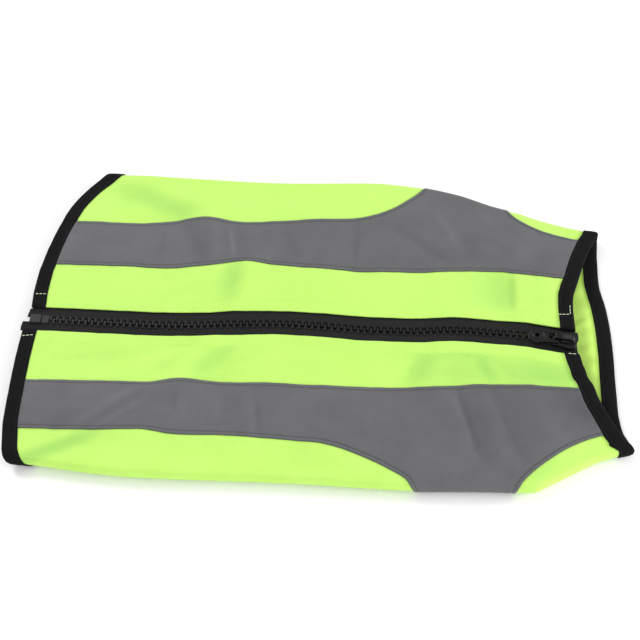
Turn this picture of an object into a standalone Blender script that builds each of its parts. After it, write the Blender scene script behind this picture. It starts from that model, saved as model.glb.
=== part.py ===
"""Reflective dog vest, laid flat with its zip up.

The vest is a flattened tube: two side panels meet at the zip on top, turn under at the
fold lines and end at the side seams below, where the belly panel closes the tube. Each
piece is a wall worked out from one surface, lie(x, s): x runs along the zip from hem to
neck, and s runs across the cut, + to the far side and - to the near side of the zip.
All sizes below are in millimetres; MM turns them into metres.
"""

import math

import bmesh
import bpy
import numpy as np

MM = 0.001
ORIGIN_X, ORIGIN_Y = 16.21, 5.79  # middle of the laid vest, from the middle of the zip

# ---- cut sizes -------------------------------------------------------------------
CLOTH = 1.0          # wall of the knit, the strips and the binding
GAP = 0.3            # between pieces at a seam
TAPE_SHOW = 7.2      # zip tape left showing each side of the zip's middle line
TAPE_HALF = 14.5     # half the width over both tapes
STRIP_IN = 38.0      # zip line to the strip's inner edge
STRIP_OUT = 70.5     # zip line to the strip's outer edge
BINDING = 8.0        # finished width of the binding
BINDING_EDGE = 1.3   # binding's fold beyond the cloth's edge
FOLD_R = 3.0         # radius of the cloth's middle where it turns under
LOW = 1.8            # height of the cloth's middle underneath, where binding lies below it
REST = 0.5           # height of the belly's middle where the knit itself lies on the table
DOME_REACH = 30.0    # how far in from the fold the top layer climbs to its full height
SEAM_FAR, SEAM_NEAR = 12.0, 24.0  # fold to side seam underneath; the tube lies rolled a little

# ---- the drape: one row for each section across the vest ---------------------------
SECTION_COLUMNS = ("x", "zip", "far_in", "far_out", "far_fold", "near_in", "near_out", "near_fold", "crown")
SECTIONS = (
    (-145, -2.0, 35.5, 67.0, 107.1, 42.0, 71.0, 86.4, 10.2),
    (-120, -2.5, 35.0, 67.0, 106.9, 41.5, 70.0, 88.7, 10.1),
    (-95, -3.0, 35.0, 66.3, 106.7, 41.0, 70.0, 91.7, 9.9),
    (-72, -3.5, 34.2, 68.5, 105.4, 41.6, 69.2, 93.2, 9.9),
    (-52, -3.2, 36.2, 72.0, 104.3, 38.0, 71.6, 93.5, 10.0),
    (-30, -1.5, 40.8, 69.0, 103.1, 40.0, 71.2, 93.5, 9.8),
    (-8, -0.5, 38.0, 70.7, 102.7, 39.2, 72.0, 93.5, 9.8),
    (16, -1.3, 36.6, 72.8, 103.3, 40.2, 73.6, 93.9, 9.9),
    (40, -3.0, 34.6, 72.0, 103.9, 40.2, 75.0, 94.7, 9.9),
    (64, -3.2, 35.0, 71.0, 101.5, 39.2, 74.5, 95.3, 9.8),
    (88, -1.6, 37.0, 70.0, 95.7, 37.4, 73.5, 94.5, 9.8),
    (110, -3.0, 38.0, 68.5, 86.7, 36.0, 72.0, 94.0, 9.9),
    (124, -4.0, 36.2, 67.0, 82.6, 36.0, 71.0, 94.3, 10.0),
    (134, -6.0, 34.6, 65.5, 78.4, 36.6, 70.0, 89.6, 10.1),
    (146, -8.0, 33.3, 64.0, 74.3, 37.0, 69.0, 82.6, 10.2),
    (160, -9.8, 33.0, 62.0, 70.6, 37.6, 67.0, 75.0, 10.2),
    (178, -12.0, 33.0, 60.0, 67.6, 38.0, 65.0, 69.0, 10.2),
)

# ---- the largest folds: one row for each soft ridge (+) or trough (-) in the top layer --
FOLD_COLUMNS = ("x", "s", "half_length", "half_width", "turn", "height")
FOLDS = (
    (-92, 86, 30, 8, -27, -1.2),
    (-57, 58, 22, 11, 80, 1.3),
    (-40, 50, 24, 7, 78, -1.2),
    (-30, 22, 18, 9, 84, 1.0),
    (-60, -28, 26, 9, 62, 1.3),
    (-48, -30, 22, 7, 58, -1.2),
    (-118, -74, 26, 8, 20, -1.3),
    (-92, -52, 30, 8, 30, 0.9),
    (55, 45, 30, 10, 60, 0.8),
    (108, 28, 16, 14, 85, -1.3),
    (82, -26, 30, 10, 12, -1.3),
    (95, -60, 26, 6, -75, -1.0),
    (112, -58, 26, 6, -70, -1.1),
    (103, -60, 26, 7, -72, 0.9),
    (20, -56, 22, 8, 80, 0.7),
)

# ---- edges of the cut: outer edge of the binding, x at each place s across -------------
HEM_COLUMNS = ("s", "far", "near")
HEM = (
    (0, -141.5, -143.6),
    (20, -142.9, -144.2),
    (32, -142.6, -144.1),
    (44, -141.3, -143.6),
    (55, -139.5, -142.6),
    (65, -137.6, -141.4),
    (74, -135.3, -139.4),
    (82, -132.8, -137.2),
    (90, -129.3, -133.6),
    (98, -125.3, -127.8),
    (106, -119.8, -122.0),
    (114, -114.5, -117.0),
    (129, -108.0, -112.5),
)
NECK_COLUMNS = ("s", "far", "near")
NECK = (
    (0, 150.6, 150.0),
    (14, 150.2, 153.0),
    (20, 150.0, 154.1),
    (26, 150.3, 155.0),
    (32, 151.9, 156.8),
    (38, 154.1, 158.1),
    (45, 156.0, 160.2),
    (54, 158.6, 164.2),
    (62, 161.3, 168.0),
    (69, 164.0, 171.6),
    (75, 166.6, 175.2),
    (80, 167.8, 176.3),
    (86, 167.4, 173.4),
    (97, 166.6, 170.6),
    (107, 166.4, 169.9),
)
# The belly's own edges: how far they stand hem-to-neck from a straight line between the
# side seams, at each share of the way from the near seam to the far one.
BELLY_EDGE_COLUMNS = ("share", "hem", "neck")
BELLY_EDGE = ((0, 0, 0), (0.2, 7.5, 0.8), (0.35, 11.0, 1.6), (0.5, 12.5, 1.8), (0.65, 11.5, 0.5), (0.82, 7.0, -0.7), (1, 0, 0))

# ---- chest branch of the strips: x of its two flanks at each place s across ------------
BRANCH_COLUMNS = ("s", "far_hem_side", "near_hem_side", "far_neck_side", "near_neck_side")
BRANCH = (
    (70.5, 22, 20, 152.9, 160.2),
    (71.5, 30, 28, 145.0, 151.0),
    (73.5, 38, 35, 137.0, 143.5),
    (77, 46, 44, 128.5, 136.0),
    (82, 54, 54, 121.0, 128.5),
    (88, 60, 63, 116.5, 122.0),
    (94, 66, 67, 114.5, 117.5),
    (101, 71, 69.5, 112.5, 115.0),
    (112, 74, 71.5, 111.0, 113.5),
    (130, 75, 73, 110.0, 112.5),
)

# ---- leg openings in the belly panel -------------------------------------------------
LEG_X = 108.0                 # middle of both openings along the vest
LEG_A, LEG_B = 22.0, 16.0     # half length and half width
LEG_SHARE = {"near": 0.25, "far": 0.75}  # place between the side seams

# ---- zip -----------------------------------------------------------------------------
CHAIN_HALF = 2.9              # half width of the closed teeth
CHAIN_THICK = 2.6
TAPE_DROP = 1.3               # tape's middle below the panel's middle
ZIP_HEM_END, ZIP_NECK_END = -143.0, 151.4
BOX_X0, BOX_X1 = -141.6, -135.2
PIN_X1 = -131.2
BOX_THICK = 3.6
SLIDER_X = 144.4              # middle of the slider's body along the zip
SLIDER_L = 12.6
SLIDER_PLATE = 1.0
SLIDER_CAVITY = 1.7           # half height between the plates
PIVOT_BACK, PIVOT_UP = -3.6, 0.95  # pull tab's bar, from the slider's middle and the top plate
TAB_LENGTH, TAB_HALF, TAB_THICK = 15.6, 3.9, 1.3
TAB_DROOP = 5.0               # degrees the tab hangs below the slider's plate, to rest on its edge


def table(columns, rows):
    return {name: np.array([row[i] for row in rows], float) for i, name in enumerate(columns)}


SECTION = table(SECTION_COLUMNS, SECTIONS)
HEM_EDGE = table(HEM_COLUMNS, HEM)
NECK_EDGE = table(NECK_COLUMNS, NECK)
BELLY_EDGES = table(BELLY_EDGE_COLUMNS, BELLY_EDGE)
FLANK = table(BRANCH_COLUMNS, BRANCH)


def read(tab, column, at):
    """A column read as a smooth curve through its rows, which never overshoots them."""
    xs, ys = next(iter(tab.values())), tab[column]
    at = np.clip(np.asarray(at, float), xs[0], xs[-1])
    step = np.diff(xs)
    rise = np.diff(ys) / step
    slope = np.concatenate([rise[:1], np.zeros(len(xs) - 2), rise[-1:]])
    same = rise[:-1] * rise[1:] > 0
    slope[1:-1][same] = (2 * rise[:-1] * rise[1:])[same] / (rise[:-1] + rise[1:])[same]
    i = np.clip(np.searchsorted(xs, at, side="right") - 1, 0, len(xs) - 2)
    h = step[i]
    t = (at - xs[i]) / h
    return (
        (2 * t**3 - 3 * t**2 + 1) * ys[i]
        + (t**3 - 2 * t**2 + t) * h * slope[i]
        + (3 * t**2 - 2 * t**3) * ys[i + 1]
        + (t**3 - t**2) * h * slope[i + 1]
    )


def ramp(t):
    t = np.clip(t, 0.0, 1.0)
    return t * t * (3 - 2 * t)


def by_side(tab, name, at, s):
    return np.where(s >= 0, read(tab, "far" + name, at), read(tab, "near" + name, at))


def fold_start(x, s):
    """Cut distance from the zip at which the cloth starts to turn under."""
    return STRIP_OUT + by_side(SECTION, "_fold", x, s) - FOLD_R - by_side(SECTION, "_out", x, s)


def seam_place(x, s):
    return fold_start(x, s) + math.pi * FOLD_R + np.where(s >= 0, SEAM_FAR, SEAM_NEAR)


def folds(x, s):
    z = np.zeros(np.broadcast(x, s).shape)
    for fx, fs, length, width, turn, height in FOLDS:
        a = math.radians(turn)
        along = (x - fx) * math.cos(a) + (s - fs) * math.sin(a)
        across = (s - fs) * math.cos(a) - (x - fx) * math.sin(a)
        z = z + height * np.exp(-((along / length) ** 2) - (across / width) ** 2)
    return z


def lie(x, s):
    """Middle of the laid side panels' cloth, in millimetres."""
    x, s = np.broadcast_arrays(np.asarray(x, float), np.asarray(s, float))
    side = np.where(s >= 0, 1.0, -1.0)
    c = np.abs(s)
    zip_out = side * read(SECTION, "zip", x)
    inner = by_side(SECTION, "_in", x, s)
    outer = by_side(SECTION, "_out", x, s)
    fold = by_side(SECTION, "_fold", x, s)
    start = STRIP_OUT + fold - FOLD_R - outer
    lean = (read(SECTION, "zip", x + 2.0) - read(SECTION, "zip", x - 2.0)) / 4.0
    sewn = zip_out + np.minimum(c, TAPE_HALF) * np.sqrt(1 + lean**2)  # true widths beside the zip
    out = np.where(
        c < STRIP_IN,
        sewn + np.maximum(c - TAPE_HALF, 0) * (inner - sewn) / (STRIP_IN - TAPE_HALF),
        np.where(
            c < STRIP_OUT,
            inner + (c - STRIP_IN) * (outer - inner) / (STRIP_OUT - STRIP_IN),
            outer + c - STRIP_OUT,
        ),
    )
    angle = np.clip((c - start) / FOLD_R, 0, math.pi)
    past = c - start - math.pi * FOLD_R
    top = LOW + 2 * FOLD_R
    z = top + (read(SECTION, "crown", x) - top) * ramp((start - c) / DOME_REACH)
    z = z + folds(x, s) * ramp((start - c) / 12.0)
    z = np.where(angle > 0, LOW + FOLD_R + FOLD_R * np.cos(angle), z)
    out = np.where(angle > 0, fold - FOLD_R + FOLD_R * np.sin(angle), out)
    out = np.where(past > 0, fold - FOLD_R - past, out)
    return np.stack([x, side * out, z], axis=-1)


def facing(x, s):
    """Outward direction of the side panels' cloth."""
    x, s = np.broadcast_arrays(np.asarray(x, float), np.asarray(s, float))
    side = np.where(s >= 0, 1.0, -1.0)[..., None]
    inward = np.where(np.abs(s) < 0.6, np.sign(s + 1e-9) * 0.6, s)
    dx = lie(x + 0.5, inward) - lie(x - 0.5, inward)
    dc = lie(x, inward + 0.4 * side[..., 0]) - lie(x, inward - 0.4 * side[..., 0])
    n = np.cross(dx, dc) * side
    return n / np.linalg.norm(n, axis=-1, keepdims=True)


def cloth(x, s, off):
    return lie(x, s) + facing(x, s) * np.asarray(off, float)[..., None]


# ---- edges ---------------------------------------------------------------------------
def edge(x_of, at, inset, inward):
    """x of a line that runs inset millimetres inside the binding's outer edge."""
    slope = x_of(at + 0.5) - x_of(at - 0.5)
    return x_of(at) + inward * inset * np.sqrt(1 + slope**2)


def hem_x(s, inset):
    s = np.asarray(s, float)
    return edge(lambda c: by_side(HEM_EDGE, "", c, s), np.abs(s), inset, 1)


def neck_x(s, inset):
    s = np.asarray(s, float)
    return edge(lambda c: by_side(NECK_EDGE, "", c, s), np.abs(s), inset, -1)


def belly_edge_x(end, share, inset):
    """x of the belly's hem or neck line between the ends of the side panels' lines."""
    edge_x = hem_x if end == "hem" else neck_x
    ends = []
    for side in (-1.0, 1.0):
        x = np.array([-110.0 if end == "hem" else 165.0])
        for _ in range(4):
            s = side * seam_place(x, np.array([side]))
            x = edge_x(s, inset)
        ends.append(float(x[0]))
    return ends[0] + (ends[1] - ends[0]) * np.asarray(share, float) + read(BELLY_EDGES, end, share)


EDGE = BINDING_EDGE          # the cloth's own edge, inside the binding's fold
INSIDE = BINDING + GAP       # where a strip or a tape meets the binding


# ---- side panels: one grid that the strips share -----------------------------------------
LEFT, MIDDLE, RIGHT = 8, 8, 5         # steps hem to branch, over the branch, branch to neck
COLUMN_BRANCH0 = 1 + LEFT
COLUMN_BRANCH1 = COLUMN_BRANCH0 + MIDDLE
COLUMN_NECK = COLUMN_BRANCH1 + RIGHT
ROW_IN, ROW_OUT = 3, 6                 # rows on the strip's edges


def row_places(x, side):
    """The cut distances of the grid's rows at x."""
    s = side * np.ones_like(x)
    start = fold_start(x, s)
    seam = seam_place(x, s)
    turn = math.pi * FOLD_R
    rows = [np.full_like(x, c) for c in (TAPE_SHOW, TAPE_HALF, 26.0, STRIP_IN, 49.0, 60.0, STRIP_OUT)]
    rows += [STRIP_OUT + (start - STRIP_OUT) * f for f in (0.4, 0.75)]
    rows += [start + turn * f for f in (0.0, 0.2, 0.4, 0.6, 0.8, 1.0)]
    rows += [seam - (seam - start - turn) * 0.5, seam]
    return rows


def column_places(c, side):
    """x of the grid's columns along a row of cut distances c."""
    s = side * c
    hem, hem_in = hem_x(s, EDGE), hem_x(s, INSIDE)
    neck, neck_in = neck_x(s, EDGE), neck_x(s, INSIDE)
    name = "far" if side > 0 else "near"
    reach = np.maximum(c, STRIP_OUT)
    left = read(FLANK, name + "_hem_side", reach)
    right = np.where(
        c > STRIP_OUT,
        np.minimum(read(FLANK, name + "_neck_side", reach), neck_in - 1.2),
        neck_in - 1.2 - 14.0 * np.maximum(0, 1 - c / STRIP_OUT),
    )
    xs = [hem] + [hem_in + (left - hem_in) * k / LEFT for k in range(LEFT)]
    xs += [left + (right - left) * k / MIDDLE for k in range(MIDDLE)]
    xs += [right + (neck_in - right) * k / RIGHT for k in range(RIGHT)]
    return xs + [neck_in, neck]


def side_grid(side):
    """x and s of every grid point: rows follow the cut's lines, columns follow its edges."""
    rows = len(row_places(np.zeros(1), side))
    columns = LEFT + MIDDLE + RIGHT + 3
    x = np.zeros((columns, rows)) + np.linspace(-140, 160, columns)[:, None]
    for _ in range(6):
        c = np.array([row_places(x[:, j], side)[j] for j in range(rows)]).T
        x = np.array([[column_places(c[i, j : j + 1], side)[i][0] for j in range(rows)] for i in range(columns)])
    return x, side * c


# ---- meshes --------------------------------------------------------------------------
def material(name, colour, roughness, metallic=0.0):
    made = bpy.data.materials.new(name)
    made.use_nodes = True
    shader = made.node_tree.nodes["Principled BSDF"]
    shader.inputs["Base Color"].default_value = (*colour, 1.0)
    shader.inputs["Roughness"].default_value = roughness
    shader.inputs["Metallic"].default_value = metallic
    return made


def add_object(name, verts, faces, surface, sharp=40.0):
    """One closed mesh from points in millimetres, faces turned outwards."""
    mesh = bpy.data.meshes.new(name)
    origin = np.array([ORIGIN_X, ORIGIN_Y, 0.0])
    mesh.from_pydata([tuple((np.asarray(v, float) - origin) * MM) for v in verts], [], faces)
    shape = bmesh.new()
    shape.from_mesh(mesh)
    bmesh.ops.recalc_face_normals(shape, faces=shape.faces)
    if shape.calc_volume(signed=True) < 0:
        bmesh.ops.reverse_faces(shape, faces=shape.faces)
    shape.to_mesh(mesh)
    shape.free()
    mesh.materials.append(surface)
    mesh.shade_smooth()
    mesh.set_sharp_from_angle(angle=math.radians(sharp))
    made = bpy.data.objects.new(name, mesh)
    bpy.context.scene.collection.objects.link(made)
    made.parent = VEST
    return made


def wall(name, points, normals, faces, low, high, surface):
    """A wall from low to high millimetres off a sheet of faces."""
    used = sorted({v for f in faces for v in f})
    place = {v: k for k, v in enumerate(used)}
    points, normals = np.asarray(points), np.asarray(normals)
    verts = [points[v] + normals[v] * high for v in used] + [points[v] + normals[v] * low for v in used]
    n = len(used)
    out = [tuple(place[v] for v in f) for f in faces]
    inner = [tuple(v + n for v in reversed(f)) for f in out]
    sides = {}
    for f in out:
        for a, b in zip(f, f[1:] + f[:1]):
            if (b, a) in sides:
                del sides[(b, a)]
            else:
                sides[(a, b)] = True
    rim = [(b, a, a + n, b + n) for a, b in sides]
    return add_object(name, verts, out + inner + rim, surface)


def grid_faces(columns, rows, keep):
    """Triangles of a grid's cells; walls on the same cells are split the same way."""
    faces = []
    for i in range(columns - 1):
        for j in range(rows - 1):
            if keep(i, j):
                a, b = i * rows + j, (i + 1) * rows + j
                faces += [(a, b, b + 1), (a, b + 1, a + 1)]
    return faces


def sweep(name, rings, surface, closed=False):
    """A solid through rings of points; its ends are filled unless it closes on itself."""
    count = len(rings[0])
    verts = [p for ring in rings for p in ring]
    last = len(rings) if closed else len(rings) - 1
    faces = []
    for k in range(last):
        a, b = k * count, ((k + 1) % len(rings)) * count
        faces += [(a + i, a + (i + 1) % count, b + (i + 1) % count, b + i) for i in range(count)]
    if not closed:
        faces.append(tuple(reversed(range(count))))
        faces.append(tuple(range((len(rings) - 1) * count, len(rings) * count)))
    return add_object(name, verts, faces, surface)


# Folded tape, as (distance in from its outer fold, height off the cloth's middle).
LEG_LOW, LEG_HIGH = CLOTH / 2 + GAP, CLOTH / 2 + GAP + CLOTH
BINDING_PROFILE = (
    (BINDING, LEG_HIGH),
    (1.0, LEG_HIGH),
    (0.0, LEG_HIGH - 1.0),
    (0.0, 1.0 - LEG_HIGH),
    (1.0, -LEG_HIGH),
    (BINDING, -LEG_HIGH),
    (BINDING, -LEG_LOW),
    (1.0, -LEG_LOW),
    (1.0, LEG_LOW),
    (BINDING, LEG_LOW),
)


# ---- belly ---------------------------------------------------------------------------
def belly_sides(x):
    near = -(read(SECTION, "near_fold", x) - FOLD_R - SEAM_NEAR) + GAP
    far = read(SECTION, "far_fold", x) - FOLD_R - SEAM_FAR - GAP
    return near, far


def leg_middle(which):
    near, far = belly_sides(LEG_X)
    return float(near + (far - near) * LEG_SHARE[which])


def belly_height(x, y, share):
    """Middle of the belly: flat on the table, raised where binding or seams lie under it."""
    near, far = belly_sides(x)
    clear = np.minimum(y - near, far - y)
    clear = np.minimum(clear, x - belly_edge_x("hem", share, BINDING + 1.0))
    clear = np.minimum(clear, belly_edge_x("neck", share, BINDING + 1.0) - x)
    for which in LEG_SHARE:
        dx, dy = (x - LEG_X) / LEG_A, (y - leg_middle(which)) / LEG_B
        spread = np.maximum(np.hypot(dx, dy), 0.2)
        local = np.hypot(x - LEG_X, y - leg_middle(which)) * (1 - 1 / spread)
        clear = np.minimum(clear, local - BINDING - 0.6)
    return LOW - (LOW - REST) * ramp(clear / 11.0)


BELLY_SHARES = (0.0, 0.05, 0.15, 0.25, 0.35, 0.45, 0.55, 0.65, 0.75, 0.85, 0.95, 1.0)
LEG_COLUMNS = (COLUMN_BRANCH0 + 1, COLUMN_BRANCH1 + 3)  # grid columns a leg opening's rings replace
LEG_ROWS = {"near": (1, 5), "far": (6, 10)}


def belly_grid(seams):
    """The belly's columns join the same seam points of both side panels."""
    share = np.array(BELLY_SHARES)
    x = seams[-1][:, None] + (seams[1] - seams[-1])[:, None] * share[None, :]
    inner = slice(1, -1)
    x[0, inner] = belly_edge_x("hem", share[inner], EDGE)
    x[1, inner] = belly_edge_x("hem", share[inner], INSIDE)
    x[-1, inner] = belly_edge_x("neck", share[inner], EDGE)
    x[-2, inner] = belly_edge_x("neck", share[inner], INSIDE)
    near, far = belly_sides(x)
    return x, near + (far - near) * share[None, :], np.broadcast_to(share, x.shape)


def leg_ring(which, angles, out):
    """Points of an opening's edge, moved out by a distance in the cloth."""
    a, b = LEG_A * np.cos(angles), LEG_B * np.sin(angles)
    nx, ny = np.cos(angles) / LEG_A, np.sin(angles) / LEG_B
    length = np.hypot(nx, ny)
    return LEG_X + a + out * nx / length, leg_middle(which) + b + out * ny / length


def leg_border(which, x, y):
    """Grid points round the block that an opening replaces, in order, with their angles."""
    (i0, i1), (j0, j1) = LEG_COLUMNS, LEG_ROWS[which]
    walk = [(i, j0) for i in range(i0, i1)] + [(i1, j) for j in range(j0, j1)]
    walk += [(i, j1) for i in range(i1, i0, -1)] + [(i0, j) for j in range(j1, j0, -1)]
    angles = [
        math.atan2((y[p] - leg_middle(which)) / LEG_B, (x[p] - LEG_X) / LEG_A) for p in walk
    ]
    return walk, np.array(angles)


def build_belly(surface, seams):
    x, y, share = belly_grid(seams)
    columns, rows = x.shape
    points = [(x[i, j], y[i, j], share[i, j]) for i in range(columns) for j in range(rows)]

    def keep(i, j):
        in_columns = LEG_COLUMNS[0] <= i < LEG_COLUMNS[1]
        return not (in_columns and any(a <= j < b for a, b in LEG_ROWS.values()))

    faces = [tuple(reversed(f)) for f in grid_faces(columns, rows, keep)]
    for which in LEG_SHARE:
        walk, angles = leg_border(which, x, y)
        rings = [[i * rows + j for i, j in walk]]
        for out in (INSIDE - BINDING_EDGE, 0.0):
            rx, ry = leg_ring(which, angles, out)
            rings.append(list(range(len(points), len(points) + len(rx))))
            points += [(u, v, 0.5) for u, v in zip(rx, ry)]
        for a, b in zip(rings, rings[1:]):
            n = len(a)
            for k in range(n):
                m = (k + 1) % n
                faces += [(a[k], b[k], b[m]), (a[k], b[m], a[m])]
        rings = []
        for angle in sorted(angles):
            ring = []
            for inset, off in BINDING_PROFILE:
                rx, ry = leg_ring(which, angle, inset - BINDING_EDGE)
                ring.append((float(rx), float(ry), LOW - off))
            rings.append(ring)
        sweep("leg_binding_" + which, rings, BLACK_TAPE, closed=True)
    flat = np.array(points)
    height = belly_height(flat[:, 0], flat[:, 1], flat[:, 2])
    middle = np.column_stack([flat[:, :2], height])
    down = np.tile((0.0, 0.0, -1.0), (len(middle), 1))
    wall("belly_panel", middle, down, faces, -CLOTH / 2, CLOTH / 2, surface)
    return x, y


def bound_edge(name, end, edge_x, side_places, belly_y):
    """Folded tape over an edge of the whole tube, from one side of the zip to the other.

    side_places holds each row's place at the cloth's edge and where the strips begin."""

    def side_ring(places):
        ring = []
        for inset, off in BINDING_PROFILE:
            share = (inset - EDGE) / (INSIDE - EDGE)
            s = places[0] + (places[1] - places[0]) * share
            x = edge_x(places[0], EDGE) * (1 - share) + edge_x(places[1], INSIDE) * share
            ring.append(cloth(x, s, off))
        return ring

    def belly_ring(share, y):
        return [(float(belly_edge_x(end, share, inset)), y, LOW - off) for inset, off in BINDING_PROFILE]

    rings = [side_ring(places) for places in side_places[1]]
    rings += [belly_ring(share, y) for share, y in reversed(list(zip(BELLY_SHARES, belly_y)))]
    rings += [side_ring(places) for places in reversed(side_places[-1])]
    sweep(name, rings, BLACK_TAPE)


# ---- zip hardware ----------------------------------------------------------------------
def zip_frame(x):
    """Place and directions of the zip at x: along it, across it, and up."""
    ahead, behind = lie(x + 5.0, 0.0), lie(x - 5.0, 0.0)
    along = (ahead - behind) / np.linalg.norm(ahead - behind)
    up = np.array([0.0, 0.0, 1.0]) - along * along[2]
    up /= np.linalg.norm(up)
    return lie(x, 0.0), along, np.cross(up, along), up


def hard_piece(name, x, drop, verts, faces, surface, bevel=0.0):
    """An object placed on the zip by its location and rotation, its mesh in its own frame."""
    place, along, across, up = zip_frame(x)
    mesh = bpy.data.meshes.new(name)
    mesh.from_pydata([tuple(np.asarray(v, float) * MM) for v in verts], [], faces)
    shape = bmesh.new()
    shape.from_mesh(mesh)
    bmesh.ops.recalc_face_normals(shape, faces=shape.faces)
    if shape.calc_volume(signed=True) < 0:
        bmesh.ops.reverse_faces(shape, faces=shape.faces)
    shape.to_mesh(mesh)
    shape.free()
    mesh.materials.append(surface)
    mesh.shade_smooth()
    mesh.set_sharp_from_angle(angle=math.radians(35))
    made = bpy.data.objects.new(name, mesh)
    bpy.context.scene.collection.objects.link(made)
    made.parent = VEST
    centre = (place - drop * up - np.array([ORIGIN_X, ORIGIN_Y, 0.0])) * MM
    made.location = tuple(centre)
    made.rotation_euler = (0.0, -math.asin(along[2]), math.atan2(along[1], along[0]))
    if bevel:
        trim = made.modifiers.new("Bevel", "BEVEL")
        trim.width, trim.segments, trim.limit_method = bevel * MM, 1, "ANGLE"
        trim.angle_limit = math.radians(40)
    return made


def prism(outline, low, high, plane="xy"):
    """An outline extruded between two levels; plane xz extrudes it across the zip."""
    n = len(outline)
    if plane == "xy":
        verts = [(u, v, low) for u, v in outline] + [(u, v, high) for u, v in outline]
    else:
        verts = [(u, low, v) for u, v in outline] + [(u, high, v) for u, v in outline]
    faces = [tuple(reversed(range(n))), tuple(range(n, 2 * n))]
    faces += [(i, (i + 1) % n, n + (i + 1) % n, n + i) for i in range(n)]
    return verts, faces


def join(target, helper_parts, operation="UNION"):
    """Adds or cuts helper solids, which stay out of the part."""
    for k, (verts, faces) in enumerate(helper_parts):
        mesh = bpy.data.meshes.new(target.name + "_tool")
        mesh.from_pydata([tuple(np.asarray(v, float) * MM) for v in verts], [], faces)
        shape = bmesh.new()
        shape.from_mesh(mesh)
        bmesh.ops.recalc_face_normals(shape, faces=shape.faces)
        if shape.calc_volume(signed=True) < 0:
            bmesh.ops.reverse_faces(shape, faces=shape.faces)
        shape.to_mesh(mesh)
        shape.free()
        tool = bpy.data.objects.new(f"{target.name}_tool_{operation.lower()}_{k}", mesh)
        bpy.context.scene.collection.objects.link(tool)
        tool.parent = VEST
        tool.location, tool.rotation_euler = target.location, target.rotation_euler
        tool.hide_render = True
        tool.display_type = "WIRE"
        step = target.modifiers.new(f"{operation.title()} {k}", "BOOLEAN")
        step.operation, step.object = operation, tool


def disk(cx, cy, radius, count=16):
    return [
        (cx + radius * math.cos(2 * math.pi * k / count), cy + radius * math.sin(2 * math.pi * k / count))
        for k in range(count)
    ]


SLIDER_COLUMNS = ("x", "half_width")
SLIDER_OUTLINE = ((-6.3, 4.15), (-2.0, 4.2), (1.5, 5.0), (4.2, 5.3), (5.6, 4.7), (6.3, 3.6))


def slider_outline(inset=0.0):
    near = [(x, -(w - inset)) for x, w in SLIDER_OUTLINE]
    return near + [(x, w - inset) for x, w in reversed(SLIDER_OUTLINE)]


def build_slider():
    low, high = SLIDER_CAVITY, SLIDER_CAVITY + SLIDER_PLATE
    verts, faces = prism(slider_outline(), low, high)
    slider = hard_piece("zip_slider", SLIDER_X, TAPE_DROP, verts, faces, BLACK_METAL)
    parts = [prism(slider_outline(), -high, -low)]
    parts.append(prism(((0.6, 0.0), (1.8, -0.8), (4.0, -0.9), (5.6, 0.0), (4.0, 0.9), (1.8, 0.8)), -low - 0.2, low + 0.2))
    slot = CLOTH / 2 + 0.4
    for side in (-1, 1):
        rim = [(x, side * w) for x, w in SLIDER_OUTLINE[:5]]
        rim += [(x, side * (w - 0.85)) for x, w in reversed(SLIDER_OUTLINE[:5])]
        parts.append(prism(rim, slot, low + 0.2))
        parts.append(prism(rim, -low - 0.2, -slot))
    base = high - 0.2
    crown = ((-5.6, base), (-5.6, high + 2.2), (-4.9, high + 2.9), (3.6, high + 2.9), (5.0, high + 1.6), (5.2, base))
    parts.append(prism(crown, -1.6, 1.6, "xz"))
    join(slider, parts)
    eye = ((-4.75, high), (-4.75, high + 1.9), (-2.3, high + 1.9), (-2.3, high))
    join(slider, [prism(eye, -2.5, 2.5, "xz")], "DIFFERENCE")
    return high


def build_tab(plate_top):
    """Flat tab with a window; its end bar turns in the slider's crown. Origin on the bar."""
    bar = 0.6
    length, half, thick = TAB_LENGTH, TAB_HALF, TAB_THICK
    head = 4.9
    outline = [(bar + 0.1, -half + 0.4), (bar + 0.1, half - 0.4), (-0.6, half), (-6.0, half - 0.3)]
    centre = -(length - head)
    arc = [math.radians(a) for a in range(50, 311, 20)]
    outline += [(centre + head * math.cos(a), head * math.sin(a)) for a in arc]
    outline += [(-6.0, -half + 0.3), (-0.6, -half)]
    verts, faces = prism(outline, -thick / 2, thick / 2)
    tab = hard_piece("zip_pull_tab", SLIDER_X, TAPE_DROP, verts, faces, BLACK_METAL)
    place, along, across, up = zip_frame(SLIDER_X)
    pivot = place - TAPE_DROP * up + PIVOT_BACK * along + (plate_top + PIVOT_UP) * up
    tab.location = tuple((pivot - np.array([ORIGIN_X, ORIGIN_Y, 0.0])) * MM)
    tab.rotation_euler.y -= math.radians(TAB_DROOP)
    window = prism(((1.5, -1.95), (1.5, 1.95), (-4.9, 1.95), (-4.9, -1.95)), -2.0, 2.0)
    eyelet = prism(disk(centre - 0.4, 0.0, 1.5), -2.0, 2.0)
    join(tab, [window, eyelet], "DIFFERENCE")
    rod = disk(0.0, 0.0, bar, 10)
    join(tab, [prism(rod, -2.6, 2.6, "xz")])
    return pivot


# ---- the vest --------------------------------------------------------------------------
for old in list(bpy.data.objects):
    bpy.data.objects.remove(old, do_unlink=True)

VEST = bpy.data.objects.new("vest", None)
bpy.context.scene.collection.objects.link(VEST)

LIME = material("lime_knit", (0.60, 1.0, 0.19), 0.85)
GREY = material("reflective_grey", (0.16, 0.16, 0.165), 0.6)
BLACK_TAPE = material("black_binding", (0.012, 0.012, 0.014), 0.85)
BLACK_WEAVE = material("black_zip_tape", (0.02, 0.02, 0.02), 0.8)
BLACK_PLASTIC = material("black_moulded_plastic", (0.015, 0.015, 0.015), 0.45)
BLACK_METAL = material("black_painted_metal", (0.014, 0.014, 0.014), 0.35, 0.3)

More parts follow.
